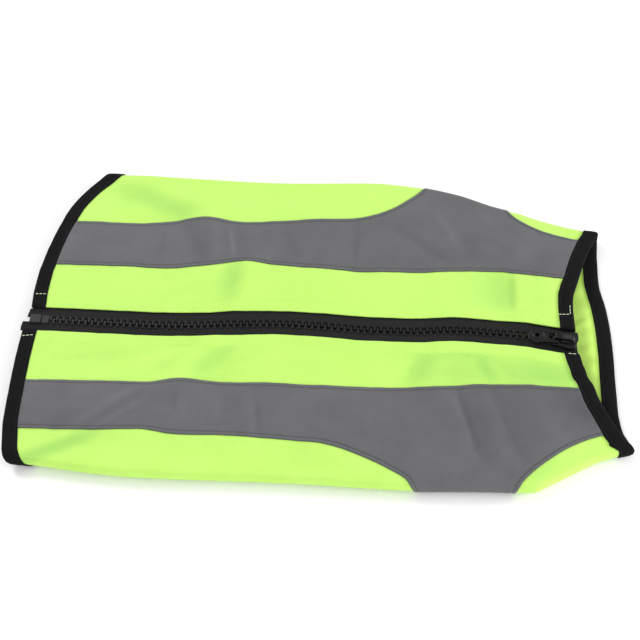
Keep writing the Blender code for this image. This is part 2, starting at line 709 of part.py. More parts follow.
grids = {}
for side, which in ((1, "far"), (-1, "near")):
    x, s = side_grid(side)
    grids[side] = (x, s)
    columns, rows = x.shape
    points, normals = lie(x, s).reshape(-1, 3), facing(x, s).reshape(-1, 3)
    wall(
        "side_panel_" + which,
        points,
        normals,
        grid_faces(columns, rows, lambda i, j: True),
        -CLOTH / 2,
        CLOTH / 2,
        LIME,
    )
    wall(
        "reflective_strip_" + which,
        points,
        normals,
        grid_faces(
            columns,
            rows,
            lambda i, j: (ROW_IN <= j < ROW_OUT and 1 <= i < COLUMN_NECK)
            or (j >= ROW_OUT and COLUMN_BRANCH0 <= i < COLUMN_BRANCH1),
        ),
        LEG_LOW,
        LEG_HIGH,
        GREY,
    )
    # Zip tape: sewn under the panel's two rows beside the zip, with its free inner part and
    # cut ends running on through the bindings.
    inner_s = np.array([CHAIN_HALF + GAP, TAPE_SHOW - GAP, TAPE_HALF]) * side
    tape_x = np.concatenate([np.full((1, 3), ZIP_HEM_END), x[1 : COLUMN_NECK + 1, [0, 0, 1]], np.full((1, 3), ZIP_NECK_END)])
    tape_s = np.broadcast_to(inner_s, tape_x.shape)
    last = len(tape_x) - 1
    wall(
        "zip_tape_" + which,
        lie(tape_x, tape_s).reshape(-1, 3),
        facing(tape_x, tape_s).reshape(-1, 3),
        grid_faces(last + 1, 3, lambda i, j: j == 0 or 0 < i < last - 1),
        -TAPE_DROP - CLOTH / 2,
        -TAPE_DROP + CLOTH / 2,
        BLACK_WEAVE,
    )

seams = {side: grids[side][0][:, -1] for side in (1, -1)}
_, belly_y = build_belly(LIME, seams)
for name, end, column, inner, edge_x in (
    ("hem_binding", "hem", 0, 1, hem_x),
    ("neck_binding", "neck", -1, -2, neck_x),
):
    places = {side: list(zip(grids[side][1][column], grids[side][1][inner])) for side in (1, -1)}
    bound_edge(name, end, edge_x, places, belly_y[column])


def chain_ring(x, half, low, high):
    place, along, across, up = zip_frame(x)
    corners = ((-half, low), (half, low), (half, high), (-half, high))
    return [place + across * v + up * (w - TAPE_DROP) for v, w in corners]


rings = [chain_ring(x, CHAIN_HALF, -CHAIN_THICK / 2, CHAIN_THICK / 2) for x in np.linspace(PIN_X1 + GAP, SLIDER_X + 0.3, 34)]
sweep("zip_chain", rings, BLACK_PLASTIC)
rings = [chain_ring(x, CHAIN_HALF - 0.5, -1.2, 1.2) for x in (BOX_X1 + GAP, PIN_X1)]
sweep("zip_pin", rings, BLACK_PLASTIC)
box = prism(
    (
        (BOX_X0 - BOX_X1, -CHAIN_HALF),
        (0.0, -CHAIN_HALF),
        (0.0, CHAIN_HALF),
        (BOX_X0 - BOX_X1, CHAIN_HALF),
    ),
    -BOX_THICK / 2,
    BOX_THICK / 2,
)
hard_piece("zip_box", BOX_X1, TAPE_DROP, box[0], box[1], BLACK_PLASTIC, bevel=0.4)
for side, which in ((1, "far"), (-1, "near")):
    stop = prism([(a, side * b) for a, b in ((2.2, 1.3), (2.2, 2.9), (5.6, 2.9), (5.6, 1.3))], -1.1, 1.1)
    hard_piece("zip_stop_" + which, SLIDER_X, TAPE_DROP, stop[0], stop[1], BLACK_PLASTIC, bevel=0.25)
plate_top = build_slider()
build_tab(plate_top)
bpy.context.view_layer.update()
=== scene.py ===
"""Looks of the reflective dog vest, laid flat with its zip up.

The cloth is made on the form of the CAD solids, worked out from the same tables: x runs
along the zip from hem to neck, s runs across the cut, + to the far side and - to the near
side of the zip. Lengths are in millimetres until a mesh is made.
"""

import functools
import math

import bmesh
import bpy
import numpy as np
from mathutils import Matrix


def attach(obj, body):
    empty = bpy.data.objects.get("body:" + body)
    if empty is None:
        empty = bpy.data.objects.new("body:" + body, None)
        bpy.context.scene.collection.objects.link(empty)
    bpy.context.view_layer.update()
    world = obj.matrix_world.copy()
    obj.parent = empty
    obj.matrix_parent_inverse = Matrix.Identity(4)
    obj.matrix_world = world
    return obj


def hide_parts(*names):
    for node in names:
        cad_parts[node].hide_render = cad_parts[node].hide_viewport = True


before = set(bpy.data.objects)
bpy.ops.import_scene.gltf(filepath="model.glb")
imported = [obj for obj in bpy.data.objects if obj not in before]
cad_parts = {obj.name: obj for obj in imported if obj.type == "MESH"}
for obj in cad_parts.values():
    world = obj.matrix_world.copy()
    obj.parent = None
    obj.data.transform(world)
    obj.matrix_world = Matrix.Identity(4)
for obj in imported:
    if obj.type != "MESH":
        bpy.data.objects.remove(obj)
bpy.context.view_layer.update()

MM = 0.001
ORIGIN = np.array([16.21, 5.79, 0.0])

# ---- sizes of the cut, as in the CAD ---------------------------------------------------
TAPE_SHOW, TAPE_HALF = 7.2, 14.5
STRIP_IN, STRIP_OUT = 38.0, 70.5
BINDING, BINDING_EDGE = 8.0, 1.3
FOLD_R, LOW, REST = 3.0, 1.8, 0.5
DOME_REACH = 30.0
SEAM_FAR, SEAM_NEAR = 12.0, 24.0
GAP = 0.3
CLOTH = 0.5                  # half the knit's thickness
PANEL_START = 7.8            # where the panels' rounded edges beside the zip begin
CHAIN_HALF, TAPE_DROP = 2.9, 1.3

SECTION_COLUMNS = ("x", "zip", "far_in", "far_out", "far_fold", "near_in", "near_out", "near_fold", "crown")
SECTIONS = (
    (-145, -2.0, 35.5, 67.0, 107.1, 42.0, 71.0, 86.4, 10.2),
    (-120, -2.5, 35.0, 67.0, 106.9, 41.5, 70.0, 88.7, 10.1),
    (-95, -3.0, 35.0, 66.3, 106.7, 41.0, 70.0, 91.7, 9.9),
    (-72, -3.5, 34.2, 68.5, 105.4, 41.6, 69.2, 93.2, 9.9),
    (-52, -3.2, 36.2, 72.0, 104.3, 38.0, 71.6, 93.5, 10.0),
    (-30, -1.5, 40.8, 69.0, 103.1, 40.0, 71.2, 93.5, 9.8),
    (-8, -0.5, 38.0, 70.7, 102.7, 39.2, 72.0, 93.5, 9.8),
    (16, -1.3, 36.6, 72.8, 103.3, 40.2, 73.6, 93.9, 9.9),
    (40, -3.0, 34.6, 72.0, 103.9, 40.2, 75.0, 94.7, 9.9),
    (64, -3.2, 35.0, 71.0, 101.5, 39.2, 74.5, 95.3, 9.8),
    (88, -1.6, 37.0, 70.0, 95.7, 37.4, 73.5, 94.5, 9.8),
    (110, -3.0, 38.0, 68.5, 86.7, 36.0, 72.0, 94.0, 9.9),
    (124, -4.0, 36.2, 67.0, 82.6, 36.0, 71.0, 94.3, 10.0),
    (134, -6.0, 34.6, 65.5, 78.4, 36.6, 70.0, 89.6, 10.1),
    (146, -8.0, 33.3, 64.0, 74.3, 37.0, 67.6, 82.6, 10.2),
    (160, -9.8, 33.0, 62.0, 70.6, 37.6, 63.8, 75.0, 10.2),
    (178, -12.0, 33.0, 60.0, 67.6, 38.0, 61.0, 69.0, 10.2),
)

FOLD_COLUMNS = ("x", "s", "half_length", "half_width", "turn", "height")
FOLDS = (
    (-92, 86, 30, 8, -27, -1.2),
    (-56, 58, 22, 10, -74, 1.2),
    (-41, 52, 22, 6, -82, -1.0),
    (-30, 22, 18, 9, 84, 1.0),
    (-54, -27, 24, 9, 56, 1.3),
    (-40, -27, 20, 7, 54, -1.2),
    (-118, -74, 26, 8, 20, -1.3),
    (-92, -52, 30, 8, 30, 0.9),
    (55, 45, 30, 10, 60, 0.8),
    (108, 28, 16, 14, 85, -1.3),
    (82, -26, 30, 10, 12, -1.3),
    (95, -60, 26, 6, -75, -1.0),
    (112, -58, 26, 6, -70, -1.1),
    (103, -60, 26, 7, -72, 0.9),
    (20, -56, 22, 8, 80, 0.7),
)

# Finer creases. left and right are the half widths on the two sides of the crease's own
# line, looking along it, so a crease can be steep on one side; bend curves the line.
CREASE_COLUMNS = ("x", "s", "half_length", "left", "right", "turn", "height", "bend")
CREASES = (
    (-36, 53, 16, 5, 1.6, -80, -0.45, 0),
    (-14, 52, 20, 5, 5, -70, 0.3, 2),
    (-4, 56, 16, 4, 3, -65, -0.4, 0),
    (33, 54, 18, 3, 2, 90, -0.22, 0),
    (-76, 54, 14, 2.0, 2.0, 90, -0.12, 0),
    (-122, 56, 16, 7, 5, 25, 0.5, 0),
    (71, 55, 22, 4, 4, -38, -0.45, 0),
    (84, 66, 16, 4, 5, -63, 0.45, 0),
    (96, 52, 22, 4, 4, -42, -0.4, 3),
    (120, 50, 18, 6, 4, 62, 0.5, 0),
    (132, 52, 14, 5, 4, 75, -0.35, 0),
    (117, 27, 15, 14, 2.6, 90, -0.9, 0),
    (-31, 27, 13, 9, 2.4, 90, -0.8, 0),
    (-82, 87, 26, 5, 6, -32, -0.6, 0),
    (136, 24, 14, 5, 6, 80, 0.4, 0),
    (-100, 24, 30, 6, 6, 6, 0.45, 0),
    (-118, 19, 22, 3, 3, 2, -0.3, 0),
    (-70, 30, 26, 6, 5, -24, -0.35, 3),
    (10, 26, 34, 8, 6, -8, 0.35, 0),
    (58, 24, 30, 7, 7, 12, -0.3, 0),
    (-20, 90, 46, 8, 8, -4, -0.4, 0),
    (44, 84, 34, 7, 6, -16, 0.45, 0),
    (-70, 78, 26, 5, 6, -24, 0.5, 0),
    (-86, -27, 28, 4, 3, 19, 0.3, 0),
    (-92, -34, 26, 4, 4, 24, -0.35, 0),
    (-68, -19, 20, 4, 3.4, 14, 0.35, 0),
    (-130, -34, 16, 4, 4, 66, -0.3, 0),
    (-20, -30, 20, 6, 6, 50, 0.4, 0),
    (20, -24, 32, 6, 8, -6, 0.35, 0),
    (60, -30, 17, 4, 9, 58, -0.8, 0),
    (84, -15, 22, 3, 8, 0, -0.5, -4),
    (111, -26, 14, 4, 4, -62, -0.6, 0),
    (128, -22, 24, 6, 8, -18, -0.5, 0),
    (-90, -54, 26, 3.0, 3, 41, 0.45, 0),
    (-78, -56, 16, 2.4, 3.0, 40, 0.3, 0),
    (-55, -52, 9, 2.2, 2.0, 90, -0.12, 0),
    (-30, -56, 14, 5, 4, 82, 0.3, 0),
    (-12, -59, 10, 2.4, 2.0, -88, -0.18, 0),
    (8, -50, 18, 5, 6, 60, 0.3, 0),
    (46, -52, 22, 6, 6, -70, -0.3, 0),
    (94, -58, 20, 2.6, 3.0, -73, -0.35, 0),
    (112, -58, 20, 3.0, 2.4, -71, -0.45, 0),
    (107, -52, 18, 2.4, 3.0, -71, 0.35, 0),
    (130, -58, 18, 5, 6, -64, 0.4, 0),
    (74, -84, 20, 6, 7, 30, -0.3, 0),
    (-60, -84, 50, 6, 7, 3, 0.4, 0),
    (10, -86, 46, 7, 6, -3, -0.3, 0),
    (128, -86, 16, 5, 5, 40, -0.4, 0),
)

# Painted shade and painted highlights on the knit and the strips: soft darker patches are painted where folds and
# creases fall into shade, and lighter strokes (negative deep) are painted on their lit flanks. deep is how much darker.
SHADE_COLUMNS = ("x", "s", "half_length", "left", "right", "turn", "deep", "bend")
SHADES = (
    (-82, 87, 28, 7, 7, -32, 0.18, 0),
    (-105, 92, 12, 6, 6, -60, 0.05, 0),
    (-126, 42, 14, 6, 5, 0, 0.10, 0),
    (-76, 55, 13, 1.2, 1.2, 90, 0.06, 0),
    (-58, 55, 15, 4, 4, -60, 0.11, 0),
    (-46, 56, 13, 3.4, 3, -82, -0.09, 0),
    (-37, 53, 13, 1.3, 1.3, -80, -0.22, 0),
    (-31, 54, 13, 3, 4, -80, 0.07, 0),
    (-4, 56, 14, 2.5, 2.5, -65, 0.06, 0),
    (-33, 28, 12, 9, 2.2, 90, 0.17, 0),
    (118, 27, 12, 22, 2.0, 90, 0.20, 0),
    (-50, 26, 26, 5, 5, 12, 0.04, 0),
    (-80, 26, 30, 4, 5, 5, -0.04, 0),
    (-40, -23, 15, 6, 5, 50, 0.18, -2),
    (-86, -27, 25, 2.6, 2.6, 19, -0.04, 0),
    (-62, -20, 14, 2.4, 2.4, 24, -0.03, 0),
    (-100, -22, 20, 2.4, 2.4, 8, 0.05, 0),
    (-90, -54, 25, 2.2, 1.8, 41, -0.15, 0),
    (-82, -59, 15, 1.6, 1.6, 38, -0.11, 0),
    (-104, -52, 14, 4, 4, 41, 0.04, 0),
    (-56, -52, 8, 1.3, 1.3, 90, 0.09, 0),
    (-51, -52, 8, 2, 2, 90, -0.04, 0),
    (-12, -59, 9, 1.4, 1.3, -80, 0.12, 0),
    (-16, -58, 9, 2, 2, -80, -0.07, 0),
    (-34, -54, 9, 2.4, 2, -78, -0.05, 0),
    (-30, -57, 10, 2, 2, 84, 0.04, 0),
    (-114, -81, 24, 4, 4, 25, 0.26, 0),
    (-124, -54, 12, 9, 9, 0, 0.08, 0),
    (33, 54, 16, 1.3, 1.3, 90, 0.09, 0),
    (71, 55, 20, 2.5, 2.5, -38, 0.09, 0),
    (84, 66, 14, 2.2, 2.2, -63, -0.10, 0),
    (98, 50, 11, 5, 6, -60, 0.08, 0),
    (108, 82, 10, 6, 6, -40, -0.05, 0),
    (125, 60, 12, 6, 5, 80, -0.06, 0),
    (70, -25, 11, 7, 5, 70, 0.13, 0),
    (87, -15.5, 17, 2, 4, 0, 0.10, 0),
    (103, -25, 10, 5, 4, -80, 0.12, 0),
    (108, -27, 46, 13, 13, -3, 0.13, 0),
    (94, -57, 18, 2.2, 1.8, -73, 0.18, 0),
    (111, -57, 17, 2.0, 4.0, -70, 0.15, 0),
    (106, -51, 11, 1.3, 1.3, -70, -0.09, 0),
    (89, -52, 12, 2, 2, -73, -0.05, 0),
    (102, -60, 14, 4, 4, -72, 0.05, 0),
    (128, -84, 12, 5, 5, 35, 0.10, 0),
    (154, -54, 15, 8, 7, -50, 0.20, 0),
    (142, -27, 24, 14, 13, 0, 0.13, 0),
    (120, -56, 46, 16, 16, 0, 0.04, 0),
    (10, 88, 60, 8, 8, -2, -0.03, 0),
    (-60, -86, 60, 7, 7, 0, -0.03, 0),
)

HEM_COLUMNS = ("s", "far", "near")
HEM = (
    (0, -141.5, -143.6),
    (20, -142.9, -144.2),
    (32, -142.6, -144.1),
    (44, -141.3, -143.6),
    (55, -139.5, -143.2),
    (65, -137.6, -142.9),
    (74, -135.3, -142.0),
    (82, -132.8, -140.7),
    (90, -129.3, -137.3),
    (98, -125.3, -130.4),
    (106, -119.8, -123.0),
    (114, -114.5, -117.0),
    (129, -108.0, -112.5),
)
NECK_COLUMNS = ("s", "far", "near")
NECK = (
    (0, 150.6, 150.0),
    (14, 150.2, 153.0),
    (20, 150.0, 154.1),
    (26, 150.3, 155.0),
    (32, 151.9, 156.8),
    (38, 154.1, 158.1),
    (45, 156.0, 159.6),
    (54, 158.6, 162.8),
    (62, 161.3, 165.8),
    (69, 164.0, 168.8),
    (75, 166.6, 172.4),
    (80, 167.8, 175.6),
    (86, 167.4, 175.2),
    (97, 166.6, 171.4),
    (107, 166.4, 170.2),
)
BELLY_EDGE_COLUMNS = ("share", "hem", "neck")
BELLY_EDGE = ((0, 0, 0), (0.2, 7.5, 0.8), (0.35, 11.0, 1.6), (0.5, 12.5, 1.8), (0.65, 11.5, 1.1), (0.82, 7.0, -0.9), (1, 0, 0))
BRANCH_COLUMNS = ("s", "far_hem_side", "near_hem_side", "far_neck_side", "near_neck_side")
BRANCH = (
    (70.5, 22, 20, 152.9, 160.2),
    (71.5, 30, 28, 145.0, 151.0),
    (73.5, 38, 35, 137.0, 143.5),
    (77, 46, 44, 128.5, 136.0),
    (82, 54, 54, 121.0, 128.5),
    (88, 60, 63, 116.5, 122.0),
    (94, 66, 67, 114.5, 117.5),
    (101, 71, 69.5, 112.5, 115.0),
    (112, 74, 71.5, 111.0, 113.5),
    (130, 75, 73, 110.0, 112.5),
)
LEG_X, LEG_A, LEG_B = 108.0, 22.0, 16.0
LEG_SHARE = {"near": 0.25, "far": 0.75}

# Ridges of the belly's cloth, which lifts off the table in them.
BELLY_FOLD_COLUMNS = ("x", "y", "half_length", "half_width", "turn", "height")
BELLY_FOLDS = (
    (150, 30, 14, 3.4, 20, 0.8),
    (152, 20, 12, 2.4, -14, 0.7),
    (156, 10, 14, 2.4, 14, 0.9),
    (150, 1, 12, 2.8, -8, 0.6),
    (158, -8, 14, 3.2, 10, 0.7),
    (160, -20, 12, 3.0, -18, 0.6),
    (140, 12, 16, 4.0, 20, 1.0),
    (70, 4, 34, 7, 12, 0.9),
    (20, -30, 40, 8, -8, 0.8),
    (10, 36, 46, 9, 10, 0.9),
    (-40, 0, 36, 8, 24, 0.8),
    (-70, 44, 26, 7, -30, 0.9),
    (-76, -40, 28, 7, 36, 0.8),
)


def table(columns, rows):
    return {name: np.array([row[i] for row in rows], float) for i, name in enumerate(columns)}


SECTION = table(SECTION_COLUMNS, SECTIONS)
HEM_EDGE = table(HEM_COLUMNS, HEM)
NECK_EDGE = table(NECK_COLUMNS, NECK)
BELLY_EDGES = table(BELLY_EDGE_COLUMNS, BELLY_EDGE)
FLANK = table(BRANCH_COLUMNS, BRANCH)


def read(tab, column, at):
    """A column read as a smooth curve through its rows, which never overshoots them."""
    xs, ys = next(iter(tab.values())), tab[column]
    at = np.clip(np.asarray(at, float), xs[0], xs[-1])
    step = np.diff(xs)
    rise = np.diff(ys) / step
    slope = np.concatenate([rise[:1], np.zeros(len(xs) - 2), rise[-1:]])
    same = rise[:-1] * rise[1:] > 0
    slope[1:-1][same] = (2 * rise[:-1] * rise[1:])[same] / (rise[:-1] + rise[1:])[same]
    i = np.clip(np.searchsorted(xs, at, side="right") - 1, 0, len(xs) - 2)
    h = step[i]
    t = (at - xs[i]) / h
    return (
        (2 * t**3 - 3 * t**2 + 1) * ys[i]
        + (t**3 - 2 * t**2 + t) * h * slope[i]
        + (3 * t**2 - 2 * t**3) * ys[i + 1]
        + (t**3 - t**2) * h * slope[i + 1]
    )


def ramp(t):
    t = np.clip(t, 0.0, 1.0)
    return t * t * (3 - 2 * t)


def by_side(tab, name, at, s):
    return np.where(s >= 0, read(tab, "far" + name, at), read(tab, "near" + name, at))


def fold_start(x, s):
    return STRIP_OUT + by_side(SECTION, "_fold", x, s) - FOLD_R - by_side(SECTION, "_out", x, s)


def seam_place(x, s):
    return fold_start(x, s) + math.pi * FOLD_R + np.where(s >= 0, SEAM_FAR, SEAM_NEAR)


def folds(x, s):
    z = np.zeros(np.broadcast(x, s).shape)
    for fx, fs, length, width, turn, height in FOLDS:
        a = math.radians(turn)
        along = (x - fx) * math.cos(a) + (s - fs) * math.sin(a)
        across = (s - fs) * math.cos(a) - (x - fx) * math.sin(a)
        z = z + height * np.exp(-((along / length) ** 2) - (across / width) ** 2)
    return z


def creases(x, s):
    z = np.zeros(np.broadcast(x, s).shape)
    for fx, fs, length, left, right, turn, height, bend in CREASES:
        a = math.radians(turn)
        along = ((x - fx) * math.cos(a) + (s - fs) * math.sin(a)) / length
        across = (s - fs) * math.cos(a) - (x - fx) * math.sin(a) - bend * along**2
        width = np.where(across > 0, left, right)
        z = z + height * np.exp(-(along**2) - (across / width) ** 2)
    return z


def shades(x, s):
    """How much painted shade (positive) or painted highlight (negative) the cloth gets at places in the cut."""
    z = np.zeros(np.broadcast(x, s).shape)
    for fx, fs, length, left, right, turn, deep, bend in SHADES:
        a = math.radians(turn)
        along = ((x - fx) * math.cos(a) + (s - fs) * math.sin(a)) / length
        across = (s - fs) * math.cos(a) - (x - fx) * math.sin(a) - bend * along**2
        width = np.where(across > 0, left, right)
        z = z + deep * np.exp(-(along**4) - np.abs(across / width) ** 2.4)
    c = np.abs(s)
    z = z * (0.25 + 0.75 * ramp((c - 13.8) / 2.2))
    # painted shade along the two stitch rows beside the zip, uneven along them
    row = 0.045 * np.exp(-(((c - 10.6) / 0.6) ** 2)) + 0.05 * np.exp(-(((c - 14.7) / 0.7) ** 2))
    return z + row * (0.7 + 0.3 * ripple(x, 2.0))


def ripple(u, spread):
    """Uneven waves along a seam, from a few lengths that don't repeat together."""
    return (
        np.sin(u * 2 * math.pi / 17.3 + spread)
        + 0.7 * np.sin(u * 2 * math.pi / 9.7 + 2.1 * spread)
        + 0.5 * np.sin(u * 2 * math.pi / 28.9 + 0.7 * spread)
    ) / 2.2


def puckers(x, s):
    """The slight pull of the stitching beside the zip, the strips and the bindings."""
    c = np.abs(s)
    side = np.where(s >= 0, 0.0, 2.6)
    z = 0.16 * ripple(x, 1.3 + side) * np.exp(-(((c - 8.5) / 3.5) ** 2))
    z = z + 0.17 * ripple(x, 4.1 + side) * np.exp(-(((c - STRIP_IN) / 3.6) ** 2))
    z = z + 0.17 * ripple(x, 5.7 + side) * np.exp(-(((c - STRIP_OUT) / 3.6) ** 2))
    hem = x + 141.0
    neck = 152.0 + 0.16 * np.maximum(c - 20, 0) - x
    z = z + 0.2 * ripple(c * 1.2, 0.4 + side) * np.exp(-((np.maximum(hem - 8, 0) / 7.0) ** 2))
    z = z + 0.2 * ripple(c * 1.2, 3.4 + side) * np.exp(-((np.maximum(neck - 8, 0) / 7.0) ** 2))
    return z


def lie(x, s):
    """Middle of the laid side panels' cloth, in millimetres."""
    x, s = np.broadcast_arrays(np.asarray(x, float), np.asarray(s, float))
    side = np.where(s >= 0, 1.0, -1.0)
    c = np.abs(s)
    zip_out = side * read(SECTION, "zip", x)
    inner = by_side(SECTION, "_in", x, s)
    outer = by_side(SECTION, "_out", x, s)
    fold = by_side(SECTION, "_fold", x, s)
    start = STRIP_OUT + fold - FOLD_R - outer
    lean = (read(SECTION, "zip", x + 2.0) - read(SECTION, "zip", x - 2.0)) / 4.0
    sewn = zip_out + np.minimum(c, TAPE_HALF) * np.sqrt(1 + lean**2)
    out = np.where(
        c < STRIP_IN,
        sewn + np.maximum(c - TAPE_HALF, 0) * (inner - sewn) / (STRIP_IN - TAPE_HALF),
        np.where(
            c < STRIP_OUT,
            inner + (c - STRIP_IN) * (outer - inner) / (STRIP_OUT - STRIP_IN),
            outer + c - STRIP_OUT,
        ),
    )
    angle = np.clip((c - start) / FOLD_R, 0, math.pi)
    past = c - start - math.pi * FOLD_R
    top = LOW + 2 * FOLD_R
    z = top + (read(SECTION, "crown", x) - top) * ramp((start - c) / DOME_REACH)
    beside_zip = 0.25 + 0.75 * ramp((c - 11.0) / 6.0)  # sewn to the tape up to here
    z = z + folds(x, s) * ramp((start - c) / 12.0)
    z = z + (creases(x, s) * beside_zip + puckers(x, s)) * ramp((start - c) / 10.0)
    z = np.where(angle > 0, LOW + FOLD_R + FOLD_R * np.cos(angle), z)
    out = np.where(angle > 0, fold - FOLD_R + FOLD_R * np.sin(angle), out)
    out = np.where(past > 0, fold - FOLD_R - past, out)
    return np.stack([x, side * out, z], axis=-1)


def facing(x, s):
    """Outward direction of the side panels' cloth."""
    x, s = np.broadcast_arrays(np.asarray(x, float), np.asarray(s, float))
    side = np.where(s >= 0, 1.0, -1.0)[..., None]
    inward = np.where(np.abs(s) < 0.6, np.where(s >= 0, 0.6, -0.6), s)
    dx = lie(x + 0.5, inward) - lie(x - 0.5, inward)
    dc = lie(x, inward + 0.3 * side[..., 0]) - lie(x, inward - 0.3 * side[..., 0])
    n = np.cross(dx, dc) * side
    return n / np.linalg.norm(n, axis=-1, keepdims=True)


def cloth(x, s, off):
    return lie(x, s) + facing(x, s) * np.asarray(off, float)[..., None]


def edge(x_of, at, inset, inward):
    slope = x_of(at + 0.5) - x_of(at - 0.5)
    return x_of(at) + inward * inset * np.sqrt(1 + slope**2)


def hem_x(s, inset):
    s = np.asarray(s, float)
    return edge(lambda c: by_side(HEM_EDGE, "", c, s), np.abs(s), inset, 1)


def neck_x(s, inset):
    s = np.asarray(s, float)
    return edge(lambda c: by_side(NECK_EDGE, "", c, s), np.abs(s), inset, -1)


@functools.cache
def seam_end(end, side, inset):
    """(x, s) where a side panel's edge line meets its side seam."""
    edge_x = hem_x if end == "hem" else neck_x
    x = np.array([-110.0 if end == "hem" else 165.0])
    for _ in range(5):
        s = side * seam_place(x, np.array([side]))
        x = edge_x(s, inset)
    return float(x[0]), float(s[0])


def belly_edge_x(end, share, inset):
    a, b = seam_end(end, -1.0, inset)[0], seam_end(end, 1.0, inset)[0]
    return a + (b - a) * np.asarray(share, float) + read(BELLY_EDGES, end, share)


def belly_sides(x):
    near = -(read(SECTION, "near_fold", x) - FOLD_R - SEAM_NEAR) + GAP
    far = read(SECTION, "far_fold", x) - FOLD_R - SEAM_FAR - GAP
    return near, far


def leg_middle(which):
    near, far = belly_sides(LEG_X)
    return float(near + (far - near) * LEG_SHARE[which])


def leg_clear(which, x, y):
    dx, dy = (x - LEG_X) / LEG_A, (y - leg_middle(which)) / LEG_B
    spread = np.maximum(np.hypot(dx, dy), 0.2)
    return np.hypot(x - LEG_X, y - leg_middle(which)) * (1 - 1 / spread)


def belly_height(x, y, share):
    near, far = belly_sides(x)
    clear = np.minimum(y - near, far - y)
    clear = np.minimum(clear, x - belly_edge_x("hem", share, BINDING + 1.0))
    clear = np.minimum(clear, belly_edge_x("neck", share, BINDING + 1.0) - x)
    for which in LEG_SHARE:
        clear = np.minimum(clear, leg_clear(which, x, y) - BINDING - 0.6)
    z = LOW - (LOW - REST) * ramp(clear / 11.0)
    lift = np.zeros_like(z)
    for fx, fy, length, width, turn, height in BELLY_FOLDS:
        a = math.radians(turn)
        along = (x - fx) * math.cos(a) + (y - fy) * math.sin(a)
        across = (y - fy) * math.cos(a) - (x - fx) * math.sin(a)
        lift = np.maximum(lift, height * np.exp(-((along / length) ** 2) - (across / width) ** 2))
    return z + lift * ramp((clear + 1.0) / 6.0)


def belly(x, y, share):
    return np.stack([x, y, belly_height(x, y, share)], axis=-1)


# ---- materials -------------------------------------------------------------------------
class Paint:
    """A small helper that builds one procedural material."""

    def __init__(self, name, rough, spec=0.5):
        self.made = bpy.data.materials.new(name)
        self.made.use_nodes = True
        self.tree = self.made.node_tree
        self.shader = self.tree.nodes["Principled BSDF"]
        self.shader.inputs["Roughness"].default_value = rough
        self.shader.inputs["Specular IOR Level"].default_value = spec

    def node(self, kind, **values):
        made = self.tree.nodes.new(kind)
        for key, value in values.items():
            setattr(made, key, value)
        return made

    def put(self, socket, value):
        if hasattr(value, "is_output"):
            self.tree.links.new(value, socket)
        else:
            socket.default_value = value

    def math(self, operation, a, b=0.0, clamp=False):
        made = self.node("ShaderNodeMath", operation=operation, use_clamp=clamp)
        self.put(made.inputs[0], a)
        self.put(made.inputs[1], b)
        return made.outputs[0]

    def cut(self):
        """The cloth's own millimetres: along, across, and distance in from an edge."""
        made = self.node("ShaderNodeAttribute", attribute_name="cut")
        split = self.node("ShaderNodeSeparateXYZ")
        self.tree.links.new(made.outputs["Vector"], split.inputs[0])
        return made.outputs["Vector"], split.outputs[0], split.outputs[1], split.outputs[2]

    def noise(self, vector, scale, detail=2.0, rough=0.5, stretch=None):
        if stretch:
            mapping = self.node("ShaderNodeMapping")
            mapping.inputs["Scale"].default_value = stretch
            self.tree.links.new(vector, mapping.inputs["Vector"])
            vector = mapping.outputs[0]
        made = self.node("ShaderNodeTexNoise")
        self.tree.links.new(vector, made.inputs["Vector"])
        made.inputs["Scale"].default_value = scale
        made.inputs["Detail"].default_value = detail
        made.inputs["Roughness"].default_value = rough
        return made.outputs[0]

    def wave(self, value, length, shift=0.0):
        """0 to 1, once over each length."""
        turned = self.math("MULTIPLY_ADD", value, 2 * math.pi / length)
        turned.node.inputs[2].default_value = shift
        return self.math("MULTIPLY_ADD", self.math("SINE", turned), 0.5), turned

    def span(self, value, low, high, to_low=0.0, to_high=1.0):
        made = self.node("ShaderNodeMapRange", interpolation_type="SMOOTHSTEP")
        self.put(made.inputs["Value"], value)
        made.inputs["From Min"].default_value = low
        made.inputs["From Max"].default_value = high
        made.inputs["To Min"].default_value = to_low
        made.inputs["To Max"].default_value = to_high
        return made.outputs[0]

    def mix(self, share, a, b):
        made = self.node("ShaderNodeMix", data_type="RGBA")
        self.put(made.inputs["Factor"], share)
        for socket, value in ((made.inputs[6], a), (made.inputs[7], b)):
            if hasattr(value, "is_output"):
                self.tree.links.new(value, socket)
            else:
                socket.default_value = (*value, 1.0)
        return made.outputs[2]

    def shaded(self, value, share=(1.0, 1.0, 1.0)):
        """A colour made darker by painted shade, or lighter by painted highlights, from the cloth's shade attribute."""
        made = self.node("ShaderNodeAttribute", attribute_name="shade")
        loss = self.node("ShaderNodeVectorMath", operation="SCALE")
        loss.inputs[0].default_value = share
        self.tree.links.new(made.outputs["Fac"], loss.inputs["Scale"])
        left = self.node("ShaderNodeVectorMath", operation="SUBTRACT")
        left.inputs[0].default_value = (1.0, 1.0, 1.0)
        self.tree.links.new(loss.outputs[0], left.inputs[1])
        scale = self.node("ShaderNodeVectorMath", operation="MULTIPLY")
        self.tree.links.new(value, scale.inputs[0])
        self.tree.links.new(left.outputs[0], scale.inputs[1])
        return scale.outputs[0]

    def colour(self, value):
        if hasattr(value, "is_output"):
            self.tree.links.new(value, self.shader.inputs["Base Color"])
        else:
            self.shader.inputs["Base Color"].default_value = (*value, 1.0)

    def bump(self, height, distance, strength=1.0):
        made = self.node("ShaderNodeBump")
        made.inputs["Strength"].default_value = strength
        made.inputs["Distance"].default_value = distance
        self.tree.links.new(height, made.inputs["Height"])
        self.tree.links.new(made.outputs[0], self.shader.inputs["Normal"])


def sine(paint, value, length, shift=0.0):
    """A sine of a length in millimetres, from 0 to 1."""
    turned = paint.math("MULTIPLY", value, 2 * math.pi / length)
    if not isinstance(shift, float) or shift:
        turned = paint.math("ADD", turned, shift)
    return paint.math("MULTIPLY", paint.math("ADD", paint.math("SINE", turned), 1.0), 0.5)


